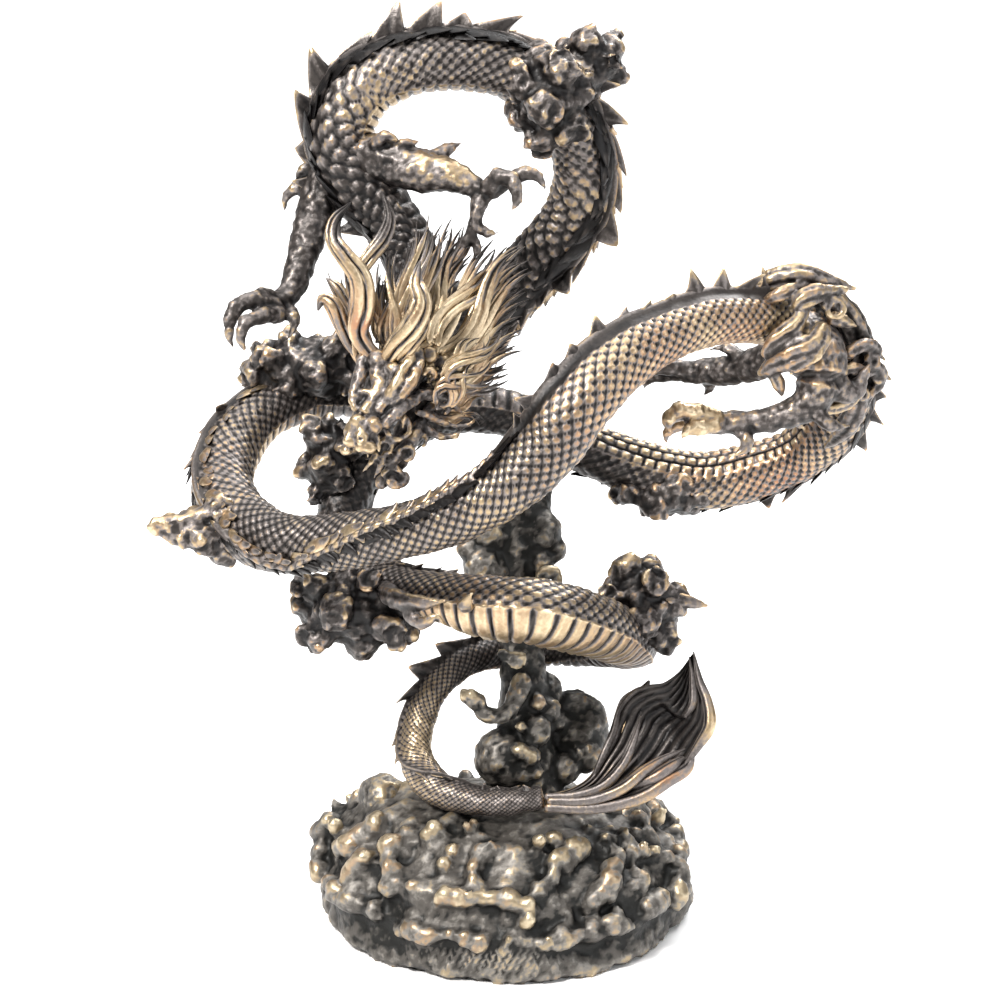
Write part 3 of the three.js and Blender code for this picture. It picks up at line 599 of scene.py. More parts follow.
crestSizes = {
    "sides": 14, "ringsPerFlame": 14, "root": 1.0, "foot": 0.7, "rim": 0.24, "curl": 2.2,
    "heights": (0.4, 0.65, 0.85, 1.0, 1.2), "veins": 4, "top": 0.61,
}


def lengthAt(index):
    return np.interp(index / (bodyPath.count - 1), bodyPath.fine, bodyPath.run)


def crestWeb(start, end):
    size = crestSizes
    s, last, flames = lengthAt(start), lengthAt(end), []
    while s < last:
        index = bodyPath.atLength(s) * (bodyPath.count - 1)
        high, long, sharp, hook, web = (np.interp(index, crestRows[:, 0], crestRows[:, k]) for k in range(1, 6))
        long *= dice.uniform(0.7, 1.15)
        flames.append([s, long, high * dice.choice(size["heights"]), sharp, hook + dice.uniform(-0.5, 0.8), web,
                       dice.uniform(-1, 1)])
        s += long
    flames = np.array(flames)
    kept = {}

    def place(t, angle):
        spot = np.clip(t, 0, 1 - 1e-9) * len(flames)
        s, long, high, sharp, hook, web, curl = flames[spot.astype(int)].T
        u = spot - spot.astype(int)
        top = size["top"]
        peak = np.where(u < top, (u / top) ** (sharp + 0.4), ((1 - u) / (1 - top)) ** (sharp * 0.75))
        tall = web + np.maximum(high - web, 0) * peak
        v = 0.5 + 0.5 * np.sin(angle)
        middle, ahead, side, up, radius = bodyPath.frame(bodyPath.atLength(s + u * long))
        vein = np.abs(np.sin(size["veins"] * math.pi * u))
        half = np.abs(np.cos(angle)) ** 0.6 * (size["foot"] * (1 - v) ** 1.5 + size["rim"] + 0.14 * vein * (1 - v))
        half = np.where((t < 1e-6) | (t > 1 - 1e-6), 0, half * np.sign(np.cos(angle)))
        lean = hook * long * peak ** 1.3 * v ** 1.8
        sway = size["curl"] * curl * peak * v ** 2 + 0.35 * np.sin(u * 9 + s) * v + half
        kept["rub"] = 0.36 * v ** 5 + 0.16 * vein * v
        return (middle + ahead * lean[:, None] + side * sway[:, None]
                + up * (radius - size["root"] + (tall + size["root"]) * v)[:, None])

    web = roundShape(size["sides"], size["ringsPerFlame"] * len(flames), place)
    markRubAndShade(web, 0.1, (2, 1.4), (5, 0.3), kept["rub"], 0.05)
    return web


# Leaf-shaped locks that lie along the back beside the crest: [first index, last index, step, how long, lean].
leafRows = [[0.5, 9, 0.2, 3.4, 22], [9, 14, 0.16, 3.4, 24], [14.5, 20.5, 0.3, 2.2, 24], [20.3, 26.6, 0.15, 2.4, 10],
            [33, 42, 0.3, 2.0, 20]]
leafShape = limb([[-1.2, 0, -0.5, 0.25], [-0.7, -0.15, 0.05, 0.52], [0, -0.05, 0.32, 0.6], [0.6, 0.22, 0.5, 0.38],
                  [1.1, 0.6, 0.8, 0.08]], 8, 7, 0.5, (0, 0, 1), 3, 0.3)


def stand(template, s, high, long, wide, lean, lift=0.0, turn=0.0):  # puts one on the back at length s
    t = np.array([bodyPath.atLength(s)])
    middle, along, side, up, radius = (row[0] for row in bodyPath.frame(t))
    local = readPoints(template.data) / mm
    tilt = math.radians(lean)
    up, side = up * math.cos(tilt) + side * math.sin(tilt), side * math.cos(tilt) - up * math.sin(tilt)
    ahead, across = local[:, 0] * long, local[:, 1] * wide
    ahead, across = (ahead * math.cos(turn) - across * math.sin(turn), ahead * math.sin(turn) + across * math.cos(turn))
    points = middle + np.outer(ahead, along) + np.outer(across, side)
    return copyShape(template, points + np.outer(local[:, 2] * high + radius + lift, up))


crest = join([crestWeb(0.3, 20.3), crestWeb(20.3, 26.6), crestWeb(26.7, 34.8), crestWeb(35, 66.6)], "crest")
finishPiece(crest, "dragon", dragonBronze, 80)
leaves = []
for first, last, step, long, lean in leafRows:
    for index in np.arange(first, last, step):
        for way in (-1, 1):
            size = long * dice.uniform(0.7, 1.25)
            leaves.append(stand(leafShape, lengthAt(index + dice.uniform(0, step)), size * 0.62, size, size * 0.9 * way,
                                way * lean * dice.uniform(0.6, 1.4), dice.uniform(-0.3, 0.2), dice.uniform(-0.3, 0.3)))
leafLocks = join(leaves, "leafLocks")
bpy.data.objects.remove(leafShape)
markRubAndShade(leafLocks, 0.3, (2, 1.6), (5, 0.5), None, 0.1)
finishPiece(leafLocks, "dragon", dragonBronze, 80)
print("crest done")


# the head
headSizes = {"voxel": 0.36, "noseBall": 2.0}
headTubes = [
    # skull, muzzle and jaw
    [[-15, -16, 137, 4.3], [-17.5, -22, 131.5, 5.8], [-20.5, -28, 126.5, 5.2], [-24, -34, 121.5, 4],
     [-27.5, -39, 117.3, 3.0]],
    [[-15.5, -23, 123, 4.0], [-18, -29, 116.5, 2.9], [-20.5, -32.5, 111, 2.5], [-22, -33.5, 107.3, 2.0]],
    # ridges from the nose up to the brow
    [[-27, -39.3, 120.4, 1.6], [-25.5, -37.6, 122.8, 1.5], [-24, -36.2, 124.9, 1.7], [-24.3, -33.8, 128, 1.8],
     [-23.4, -31, 131, 1.5]],
    [[-24.7, -39, 120.8, 1.1], [-22.1, -37.2, 124.2, 1.3], [-21.7, -34.6, 127.5, 1.3], [-22.6, -31.5, 130.6, 1.1]],
    # the brow that stands up like a leaf with a hollow in it
    [[-22.8, -38, 122.4, 0.9], [-21.3, -38, 125.4, 1.05], [-19.4, -36.4, 128.9, 1.0], [-17.5, -34.5, 131, 0.8],
     [-16.2, -32, 132.3, 0.2]],
    [[-22.8, -38, 122.2, 0.9], [-19.6, -37.6, 124.4, 1.2], [-17.2, -36.2, 127.4, 1.15], [-16.2, -34.2, 130, 0.8],
     [-16.2, -32, 132.3, 0.2]],
    # brow of the other eye, cheek and lips
    [[-28.4, -38.6, 120.6, 0.8], [-29, -36.6, 123.6, 1.0], [-28, -34, 127, 1.3], [-27, -31, 130.5, 1.2]],
    [[-23.6, -40, 118.4, 1.2], [-21.7, -39, 120.1, 1.2], [-19.4, -37, 121.7, 1.2], [-16.6, -34, 122.4, 1.0],
     [-13.5, -31, 123.5, 0.5]],
    [[-23.4, -36.5, 109.9, 1.3], [-20.7, -36, 111.6, 1.3], [-18.3, -34.5, 114, 1.3], [-16.2, -32, 117, 1.2],
     [-14, -29.5, 120, 0.8]],
    # whiskers and cheek flames
    [[-17.5, -34.5, 119.8, 0.8], [-14.5, -33, 118.4, 0.75], [-11.5, -32, 116.6, 0.7], [-7.7, -31, 115.9, 0.55],
     [-5.3, -31, 117.6, 0.12]],
    [[-17, -34, 123, 1.1], [-14.2, -32.5, 122.6, 1.15], [-11.2, -31.5, 121.2, 0.9], [-7.9, -30.2, 117.6, 0.15]],
    [[-16, -32, 116, 0.9], [-12.5, -31.5, 113.9, 0.8], [-9.5, -31.5, 114.2, 0.5], [-8.3, -31.5, 115.6, 0.12]],
    [[-15, -30, 126, 1.0], [-11.5, -30, 125, 1.0], [-8.5, -29, 122.5, 0.6], [-6.5, -28, 119.5, 0.12]],
    # beard and teeth
    [[-22, -34, 108.5, 1.2], [-22.4, -36.4, 107, 1.3], [-21, -37, 105.8, 1.0], [-19.8, -36, 106.6, 0.5]],
    [[-24.6, -38.5, 113, 0.75], [-26, -39.2, 110.8, 0.65], [-27.7, -39, 108.8, 0.15]],
    [[-23.3, -38, 111.9, 0.9], [-24.3, -38.6, 109.5, 0.7], [-25.2, -38, 107.5, 0.15]],
    [[-26.5, -40.5, 116, 0.5], [-26.3, -41, 114, 0.4], [-26.2, -41, 112.3, 0.1]],
    [[-24.6, -40, 117, 0.55], [-24.2, -40.6, 115, 0.45], [-24.4, -40.4, 113, 0.1]],
    [[-19.5, -36.5, 119.5, 0.5], [-19.6, -37, 117.8, 0.4], [-19.8, -36.8, 116.2, 0.1]],
]
headBalls = [  # nose, nostril wings, eyes, bumps of the brow
    [[-27.6, -39.8, 117.2], 3.1, (1.05, 0.8, 1)], [[-29.6, -41, 116], 1.5, (1, 1, 0.9)],
    [[-26.4, -42, 114.9], 1.6, (1.2, 0.9, 0.9)], [[-25, -40.8, 118.8], 1.6, (1, 0.9, 1.1)],
    [[-28.4, -40.4, 119.6], 1.4, (1, 1, 1)], [[-30.4, -40, 113.6], 1.4, (1, 1, 0.8)],
    [[-27, -36.9, 122.6], 1.2, (1, 1, 1)], [[-19.2, -36.4, 126.4], 1.0, (1, 1, 1)],
    [[-24.6, -33, 129.6], 2.0, (1, 1, 1)], [[-21.4, -35, 127], 2.2, (0.8, 0.7, 1.3)],
    [[-6.9, -23.5, 129.4], 2.0, (1.1, 0.7, 1.1)], [[-9, -25.5, 126], 1.7, (1.2, 0.7, 1)],
    [[-12.2, -29, 128], 1.5, (1.3, 0.7, 1)], [[-14.5, -30.5, 130], 1.5, (1, 0.8, 1.2)],
    [[-20, -35.6, 106.4], 1.7, (1, 0.8, 1)], [[-23.7, -35, 105.8], 1.5, (1, 0.8, 1)],
]
headRings = [  # rings: middle, radius, thickness, the way they face, share of a full turn
    [[-20.6, -36.8, 117.2], 2.3, 0.62, (0.3, -1, 0.2), 1.0], [[-27, -37.6, 122.8], 1.9, 0.6, (-0.35, -1, 0.3), 1.0],
    [[-19.0, -36.4, 111.8], 1.6, 0.62, (0.4, -1, 0), 0.85], [[-23, -37.6, 113.6], 1.5, 0.55, (0, -1, 0.2), 0.85],
    [[-27.4, -42.6, 116.8], 0.8, 0.42, (0.1, -1, 0.2), 1.0], [[-6.7, -24.4, 129.6], 1.7, 0.7, (0.5, -1, 0.1), 0.8],
    [[-16.3, -33.5, 113.5], 1.5, 0.6, (0.5, -1, 0.1), 0.75], [[-12, -31.8, 119.6], 1.4, 0.6, (0.5, -1, 0.2), 0.8],
    [[-14.6, -32.6, 126.4], 1.3, 0.55, (0.4, -1, 0.2), 0.8], [[-21.6, -36.6, 107.2], 2.0, 0.7, (0.2, -1, 0), 0.7],
]


def curl(middle, size, thick, faces, share=1.0, tighten=0.0, start=0.0):  # a ring or spiral of metal
    way = np.array(faces, float) / np.linalg.norm(faces)
    right = np.cross(way, (0, 0, 1))
    right /= np.linalg.norm(right)
    up = np.cross(right, way)
    count = 9 if share <= 1 else 16
    rows = []
    for i in range(count):
        turn = 2 * math.pi * share * i / (count - 1) + start
        reach = size * (1 - tighten * i / (count - 1))
        spot = np.array(middle) + right * math.cos(turn) * reach + up * math.sin(turn) * reach
        rows.append([*spot, thick * (1 - 0.3 * tighten * i / (count - 1))])
    return limb(rows, 8, 26, 1.0, way)


parts = [limb(rows, 14 if i < 2 else 10, 24, 1.0, (0, -1, 1)) for i, rows in enumerate(headTubes)]
parts += [ball(at, size, stretch) for at, size, stretch in headBalls]
parts += [curl(at, size, thick, faces, share, 0.3 if share < 1 else 0) for at, size, thick, faces, share in headRings]
head = melt(join(parts, "head"), headSizes["voxel"], 1)
roughen(head, "CLOUDS", 2.4, 0.8, noise_depth=1)
roughen(head, "CLOUDS", 1.0, 0.35, noise_depth=2)
markRubAndShade(head, 0.32, (3, 2.4), (26, 0.46), None, 0.06)
finishPiece(head, "dragon", dragonBronze)

# horns: smooth, fluted, swept up from the brow
hornRows = [
    [[-24.5, -32, 129, 1.6], [-28.1, -31.5, 134.2, 2.1], [-27.2, -32, 140.5, 2.5], [-27.7, -32, 145.6, 2.3],
     [-30.4, -31, 149.2, 1.9], [-32.7, -29.5, 152.3, 1.65], [-32.5, -27.5, 155.5, 1.25], [-29.5, -25, 158.6, 0.15]],
    [[-28.4, -31, 145.5, 1.4], [-25.9, -30, 149, 1.6], [-23.2, -28.5, 152.5, 1.55], [-22.1, -27.5, 156, 1.15],
     [-23.6, -25.5, 160.8, 0.15]],
    [[-23.6, -32.5, 128, 1.5], [-20.9, -34.5, 132.8, 2.1], [-17.6, -35.5, 137.2, 2.35], [-15.9, -35, 141.6, 2.0],
     [-17.0, -33.5, 144.9, 1.5], [-16.3, -31, 148.6, 0.15]],
    [[-26.4, -28, 127.5, 1.2], [-29.6, -28, 131, 1.4], [-31.5, -28.5, 135, 1.5], [-33.3, -28.5, 139.4, 1.7],
     [-35, -27.5, 140.2, 1.2], [-36.2, -26.5, 137.6, 0.15]],
    [[-28, -26.5, 133.5, 1.0], [-30.2, -26.5, 138.6, 1.3], [-32.7, -25.5, 142.1, 1.2], [-34.6, -24.5, 143.6, 0.15]],
    [[-20.5, -34, 129.5, 1.1], [-18, -35.5, 133, 1.3], [-15.6, -34.5, 136.5, 1.1], [-14.6, -33, 139.4, 0.15]],
]
parts = [limb(rows, 32, 40, 0.72, (0, 1, 0), 4, 0.55, True, 1.0) for rows in hornRows]
horns = join(parts, "horns")
height = readPoints(horns.data)[:, 2] / mm
markRubAndShade(horns, 0.42, (2, 3.4), (8, 0.8), -0.24 * np.clip((height - 146) / 10, 0, 1))
finishPiece(horns, "dragon", dragonBronze)

# the mane: locks that stream from the nape and cheek, some fine and grey between the horns
maneFans = [  # root, tip, how many, spread of the roots, spread of the tips, thickness, how far it sways
    [(-17, -29, 131), (-7, -15, 147.5), 3, 1.2, 1.6, 1.7, 1.8], [(-15, -29, 130), (-3, -14, 148.5), 3, 1.4, 1.4, 1.7, 1.6],
    [(-14, -28, 129), (2.6, -14, 146), 3, 1.4, 1.4, 1.8, 1.7], [(-14, -28, 128), (2.2, -14, 140.5), 3, 1.4, 1.4, 1.8, 1.5],
    [(-13, -28, 127), (3, -14, 137.8), 3, 1.4, 1.4, 1.7, 1.4], [(-13, -28, 125), (0.2, -16, 134.6), 3, 1.4, 1.4, 1.8, 1.4],
    [(-13, -28, 124), (3, -16, 130), 3, 1.4, 1.4, 1.6, 1.4], [(-13, -28, 122), (0, -17, 125), 3, 1.4, 1.4, 1.5, 1.3],
    [(-14, -28, 120), (-2.5, -20, 121), 3, 1.4, 1.6, 1.3, 1.2], [(-15, -29, 118), (-6.0, -25, 115.6), 3, 1.3, 1.4, 1.1, 1.0],
    [(-20, -29, 131), (-16, -24, 153), 5, 1.6, 2.0, 1.3, 0.9], [(-21, -29, 131), (-20, -24, 150), 4, 1.5, 1.6, 1.2, 0.9],
    [(-19, -28, 131), (-12.5, -22, 150), 5, 1.5, 2.0, 1.4, 1.2], [(-24, -28, 131), (-25, -25, 144), 4, 1.2, 1.4, 1.1, 0.8],
    [(-26, -28, 129), (-31, -25.5, 146), 3, 1.0, 1.0, 1.0, 0.9], [(-27, -27, 127), (-32.5, -24, 140), 3, 1.0, 1.2, 1.0, 0.8],
    [(-16, -24, 134), (-9, -12, 151), 4, 1.5, 2.0, 1.5, 1.4], [(-12, -31, 124), (-5, -27, 133), 3, 1.2, 1.4, 1.3, 1.6],
    [(-13, -32, 121), (-6, -29, 127), 3, 1.2, 1.4, 1.2, 1.4],
]
maneSizes = {"strands": 5, "spread": 1.1, "curlUp": 2.6}
parts = []
for root, tip, count, rootSpread, tipSpread, thick, sway in maneFans:
    for i in range(max(count - 1, 2)):
        a = np.array(root) + [dice.gauss(0, rootSpread * 0.6) for _ in range(3)]
        b = np.array(tip) + ([dice.gauss(0, tipSpread * 0.6) for _ in range(3)] if i else np.zeros(3))
        way = (b - a) / np.linalg.norm(b - a)
        across = np.cross(way, (0, -1, 0))
        swing = sway * dice.choice((-1, 1)) * dice.uniform(0.8, 1.5)
        for strand in range(maneSizes["strands"]):
            start = np.array([dice.gauss(0, 0.5) for _ in range(3)])
            stray = np.array([dice.gauss(0, maneSizes["spread"]) for _ in range(3)])
            reach = dice.uniform(0.82, 1.08)
            lift = dice.uniform(0.2, 1.0) * maneSizes["curlUp"]
            rows = []
            for share, size in ((0, 0.7), (0.2, 0.95), (0.42, 1.0), (0.62, 0.8), (0.8, 0.5), (0.93, 0.26), (1, 0.05)):
                bulge = np.array((0, -1.8, 0)) * math.sin(math.pi * share)
                bend = across * (swing * math.sin(2 * math.pi * share * 0.9) + lift * max(share - 0.6, 0) * 1.6)
                spot = a + start + (b - a) * share * reach + stray * share ** 1.5 + bulge + bend
                rows.append([*spot, thick * 0.62 * size * dice.uniform(0.9, 1.1)])
            parts.append(limb(rows, 8, 15, 0.55, (0, 1, 0), 2, 0.5, True, dice.uniform(-1.2, 1.2)))
mane = join(parts, "mane")
markRubAndShade(mane, 0.19, (2, 2.9), (5, 0.8), None, 0.06, 0.1)
finishPiece(mane, "dragon", dragonBronze)
print("head and mane done")


# legs: each a scaly limb with toes and claws, and the tufts at its elbow; rows of x, y, z, radius
legSizes = {"voxel": 0.42, "scaleSize": 1.3, "scaleDepth": 0.3}
legRows = {
    "frontLegLeft": {
        "limb": [[-33, 0, 164, 4.8], [-37.5, -4, 153, 3.9], [-40, -10, 144.5, 3.2], [-42.5, -15, 138, 2.5],
                 [-46.5, -19, 136, 2.3]],
        "toes": [
            [[-44, -18, 136, 2], [-48.5, -21, 138.5, 1.7], [-52.6, -23, 137, 1.6], [-53.6, -24.5, 133, 1.1],
             [-52.6, -25, 129.4, 0.12]],
            [[-43, -18, 135, 1.8], [-47, -24, 135.8, 1.6], [-50, -26.6, 135.4, 1.4], [-51, -28, 132, 0.9],
             [-50, -28, 129.6, 0.12]],
            [[-43, -17, 136, 1.7], [-41.2, -19.5, 134.5, 1.3], [-41.6, -20.5, 132, 0.9], [-43, -21, 130, 0.12]],
            [[-44, -17, 137, 1.7], [-47.5, -19, 139, 1.5], [-49, -21.5, 138.5, 1.2], [-49, -23, 136, 0.2]],
        ],
        "tufts": [[[-38, -2, 156, 2.2], [-41, -1.5, 156.5, 1.6], [-43.6, -1, 154.2, 0.9], [-44, 0, 151, 0.12]],
                  [[-37, -2, 160, 2], [-40, -1, 160, 1.3], [-42, 0, 157.5, 0.12]]],
    },
    "frontLegRight": {
        "limb": [[-29, -2, 164, 5], [-24.5, -6, 163, 4.5], [-16, -10, 161.5, 4.2], [-10.5, -12, 161, 3.3],
                 [-6, -14, 159, 2.2], [-3, -16, 157, 1.8]],
        "toes": [
            [[-4, -15, 158, 1.9], [-1.6, -17.5, 161.6, 1.8], [1, -19.5, 161.8, 1.4], [2.2, -20.5, 158.4, 1.1],
             [1.2, -21, 156, 0.12]],
            [[-4, -15, 158, 1.9], [0.5, -16, 160.8, 1.5], [4, -17, 162.4, 1.3], [6.6, -17, 161.6, 1], [8, -17, 158.6, 0.12]],
            [[-4.5, -15, 158, 1.9], [-5.5, -17, 155.4, 1.5], [-5.6, -18, 152.6, 1.2], [-3, -18.6, 151, 0.8],
             [-1, -19, 151.4, 0.12]],
            [[-5, -14, 157, 1.8], [-6.2, -15, 152, 1.3], [-7.6, -15, 148.5, 1.1], [-10.4, -15, 146.6, 0.12]],
            [[-7, -15, 150, 1.1], [-5.5, -16, 147.6, 1.0], [-6.5, -16.5, 145, 0.12]],
        ],
        "tufts": [[[-15, -9, 162, 2.4], [-12, -8, 165, 1.6], [-8.5, -6, 166.4, 0.12]],
                  [[-22, -8, 163, 2], [-20, -9, 166.4, 1.4], [-16.6, -9, 167.2, 0.12]],
                  [[-26, -8, 166, 1.6], [-23, -10.4, 168.6, 1.1], [-20.4, -11, 167.4, 0.12]]],
    },
    "hindLegRight": {
        "limb": [[56, -4, 129, 6.2], [62, -11, 123.5, 6.4], [61, -14, 116.5, 3.8], [53, -15, 112.5, 2.6],
                 [45.5, -14, 111.5, 2.5], [39, -14, 111.5, 2.1]],
        "toes": [
            [[43, -14, 112, 2.2], [38, -16, 114, 1.9], [34.4, -17, 114.6, 1.9], [32.2, -18, 113, 1.5],
             [32.6, -18.6, 110.6, 0.15]],
            [[43, -14, 111, 2.1], [39, -12, 110.4, 1.7], [35, -12, 110.6, 1.5], [32.4, -12, 108.6, 1], [32.4, -12.4, 106.4, 0.12]],
            [[46, -14, 111, 2], [48, -17, 108.6, 1.4], [47, -18, 106.6, 0.9], [45, -18.4, 105.8, 0.12]],
            [[43, -15, 112, 1.9], [39, -18, 111.6, 1.5], [36, -19.4, 111.6, 1.2], [34.6, -20, 109.6, 0.12]],
        ],
        "tufts": [[[63, -12, 121, 3], [69, -11, 117, 2.5], [73, -9, 122.5, 0.2]],
                  [[60, -15, 117, 2], [64, -16.5, 112, 1.6], [69, -15, 111, 0.12]]],
    },
    "hindLegLeft": {
        "limb": [[60, 3, 124, 4.5], [53.5, 9, 118, 3.6], [47, 14, 114.6, 3.2], [41, 17, 113.4, 2.7], [36, 18.5, 113, 2.2]],
        "toes": [
            [[38, 18, 113.4, 2], [33.4, 17, 114.4, 1.6], [30, 17, 113, 1.1], [28.4, 18, 110.6, 0.12]],
            [[38, 18, 113, 2], [33, 20, 112, 1.6], [30, 21, 110.4, 1.1], [29.4, 22, 108, 0.12]],
            [[41, 17, 113, 1.8], [43, 18.6, 110, 1.3], [41.4, 19, 107.4, 0.12]],
        ],
        "tufts": [[[50, 12, 116, 2], [46, 13, 119.5, 1.3], [42, 14, 119, 0.12]]],
    },
}
for name, rows in legRows.items():
    tubes = [rows["limb"], *rows["toes"], *rows["tufts"]]
    parts = [limb(tube, 14, 26, 1.0, (0, 0.3, 1)) for tube in tubes]
    for toe in rows["toes"]:  # knuckles
        for x, y, z, size in toe[1:-1]:
            parts.append(ball((x, y, z + size * 0.2), size * 1.02, sides=10, rings=7))
    leg = melt(join(parts, name), legSizes["voxel"], 1)
    roughen(leg, "VORONOI", legSizes["scaleSize"], -legSizes["scaleDepth"], 0.4)
    roughen(leg, "CLOUDS", 2.6, 0.8, noise_depth=1)
    markRubAndShade(leg, 0.23, (3, 1.6), (16, 0.6), None, 0.12)
    finishPiece(leg, "dragon", dragonBronze)

# flames of hair: on the hips and where paws are tucked into the clouds
flameRows = {
    "hipFlames": [
        [[49, -6, 135.5, 2.2], [53.5, -8, 139, 2.8], [58.5, -9, 140, 2.9], [64.5, -8, 138.5, 1.9], [70, -6, 137, 0.3]],
        [[50, -10, 135, 0.5], [53, -13, 137, 1.4], [55.5, -13, 138, 1.6], [58, -11, 138.5, 1.4], [61.5, -9, 139.5, 0.4]],
        [[57, -13.5, 133.5, 0.3], [58, -14.5, 136, 2], [60.5, -13.5, 137.5, 2.3], [64, -11, 137.5, 1.5], [68, -9, 137.5, 0.7]],
        [[59.5, -14, 135, 1], [56.5, -16, 131.5, 2.2], [53, -16, 128.5, 2], [50.5, -15.5, 125.5, 0.5]],
        [[63, -14, 132, 1.6], [61, -17, 128.5, 2.8], [57, -17.5, 126.5, 3.1], [53, -16.5, 124, 2.2], [50, -15, 121.5, 0.7]],
        [[63, -16.5, 130, 0.4], [61.5, -19, 126.5, 0.6], [58, -19, 124, 0.5], [55, -18, 122, 0.15]],
        [[64, -10, 132, 1.8], [67, -9, 131, 1.5], [70.4, -7, 129.4, 0.15]],
        [[61, -12, 113, 0.15], [63.5, -11.5, 113.5, 1.3], [66, -10, 113.5, 1.6], [69, -8, 114, 1.5], [71.5, -6, 116, 1.4]],
        [[52, -15.5, 123, 1.2], [54, -15.5, 120, 1.4], [55, -15, 117, 0.3]],
        [[55, -14, 116, 0.8], [56.5, -13.5, 113, 1.1], [58, -13, 111, 0.9], [60, -12, 109.6, 0.2]],
        [[71, -5, 117, 2.2], [71, -3, 111, 2.6], [69, 1, 105, 2.2], [66, 6, 100, 0.4]],
        [[64, -7, 136, 2.4], [68.5, -4, 131, 3], [71.5, -2, 125, 3], [73, 0, 118.5, 3], [72.5, 2, 112, 2.6], [70, 5, 104, 0.8]],
        [[62, -11, 124, 2.4], [65, -11, 119, 2], [63, -13, 115.5, 0.3]],
        [[68, -9, 124, 1.6], [72, -6, 125.4, 1.6], [74.6, -3, 123.4, 1.5], [73.6, -4, 121, 0.8]],
        [[66, -10, 120, 1.2], [69.4, -9.4, 121.4, 1.4], [72, -7, 119.4, 1.3], [70, -8, 117.4, 0.7]],
        [[70, -6, 119, 1.6], [75, -3, 119.5, 1.8], [76, -1, 116, 1.4], [73, -4, 113.6, 0.6]],
    ],
    "tuckedPaws": [
        [[-24, -9, 75, 3.4], [-22, -22, 77, 2.4], [-16, -28.4, 78.4, 1.5], [-11.5, -31, 80, 0.15]],
        [[-23, -13, 75, 3], [-19, -26, 76, 1.7], [-16.5, -30, 73, 0.15]],
        [[26, -6, 70, 3.2], [33.5, -6, 71, 2], [38, -6, 70.5, 1.5], [42, -6, 69.6, 0.2]],
        [[-7.5, -25, 77, 2.2], [-8, -31, 79, 1.6], [-6.5, -33, 82.5, 0.15]],
        [[-20, -24, 75.6, 2], [-16.6, -29.6, 74.6, 1.4], [-13.6, -31, 76.4, 0.9], [-12, -31, 74.6, 0.12]],
    ],
}
flameCurls = {"hipFlames": [[[65, -12, 134.2], 2.3, 0.75, (0.2, -1, 0.2)], [[74, -4.5, 121.4], 1.5, 0.7, (0.4, -1, 0.2)],
                            [[70.2, -8.6, 118.6], 1.6, 0.7, (0.2, -1, 0.1)], [[72, -6, 115], 1.3, 0.6, (0.3, -1, 0)],
                            [[75.4, -2.4, 117.6], 1.3, 0.6, (0.5, -1, 0.1)]], "tuckedPaws": []}
for name, rows in flameRows.items():
    grooved = name == "hipFlames"
    parts = [limb(tube, 36, 40, 0.75, (0, 1, 0.2), 5 if grooved else 2, 0.42, True, 0.8) for tube in rows]
    parts += [curl(at, size, thick, faces, 1.3, 0.5) for at, size, thick, faces in flameCurls[name]]
    flames = melt(join(parts, name), 0.4, 0)
    roughen(flames, "CLOUDS", 2.2, 0.6, noise_depth=1)
    markRubAndShade(flames, 0.33, (3, 2.2), (16, 0.5), None, 0.12, 0.8)
    finishPiece(flames, "dragon", dragonBronze)
print("legs done")


# clouds that cling to the body: middle, size, spread of the lumps along x, y and z, how many
cloudSizes = {"voxel": 0.5}
cloudRows = {
    "cloudTop": [[[9, 3, 173.5], 9.5, (1, 1, 1.2), 12], [[17, 8, 179.5], 7, (1.2, 1, 1.1), 9]],
    "cloudLeft": [[[-41, 21, 113], 9, (1.9, 0.9, 0.9), 14]],
    "cloudFalling": [[[-36.5, 5, 97], 7, (0.8, 1, 1.8), 12], [[-31, 2, 103], 4.4, (1, 1, 1.4), 7]],
    "cloudTip": [[[-58, -12, 89], 8, (1.3, 1, 0.8), 9]],
    "cloudLowerLeft": [[[-29, -8, 70.5], 10.5, (1.6, 1, 1), 15]],
    "cloudLowerRight": [[[28, -3, 68.5], 9.5, (1, 1, 1.2), 12]],
    "cloudUnder": [[[34, 18, 86], 6.5, (1.8, 1, 0.7), 9]],
}
golden = math.pi * (3 - math.sqrt(5))


def cloudLumps(at, size, stretch, count):
    middle = np.array(at, float)
    parts = [ball(middle, size * 0.8, [1 + (s - 1) * 0.6 for s in stretch], 20, 14)]
    for i in range(count):
        height = 1 - 2 * (i + 0.5) / count
        ring = math.sqrt(1 - height ** 2)
        turn = i * golden + at[0]
        way = np.array((math.cos(turn) * ring * stretch[0], math.sin(turn) * ring * stretch[1], height * stretch[2]))
        much = size * dice.uniform(0.28, 0.5)
        parts.append(ball(middle + way * size * 0.68, much, (1, 1, 1), 14, 10))
        if i % 2:
            parts.append(curl(middle + way * size * 0.95, much * 0.85, much * 0.26, (way[0], way[1] - 0.8, way[2]),
                              1.6, 0.75, dice.uniform(0, 6)))
    return parts


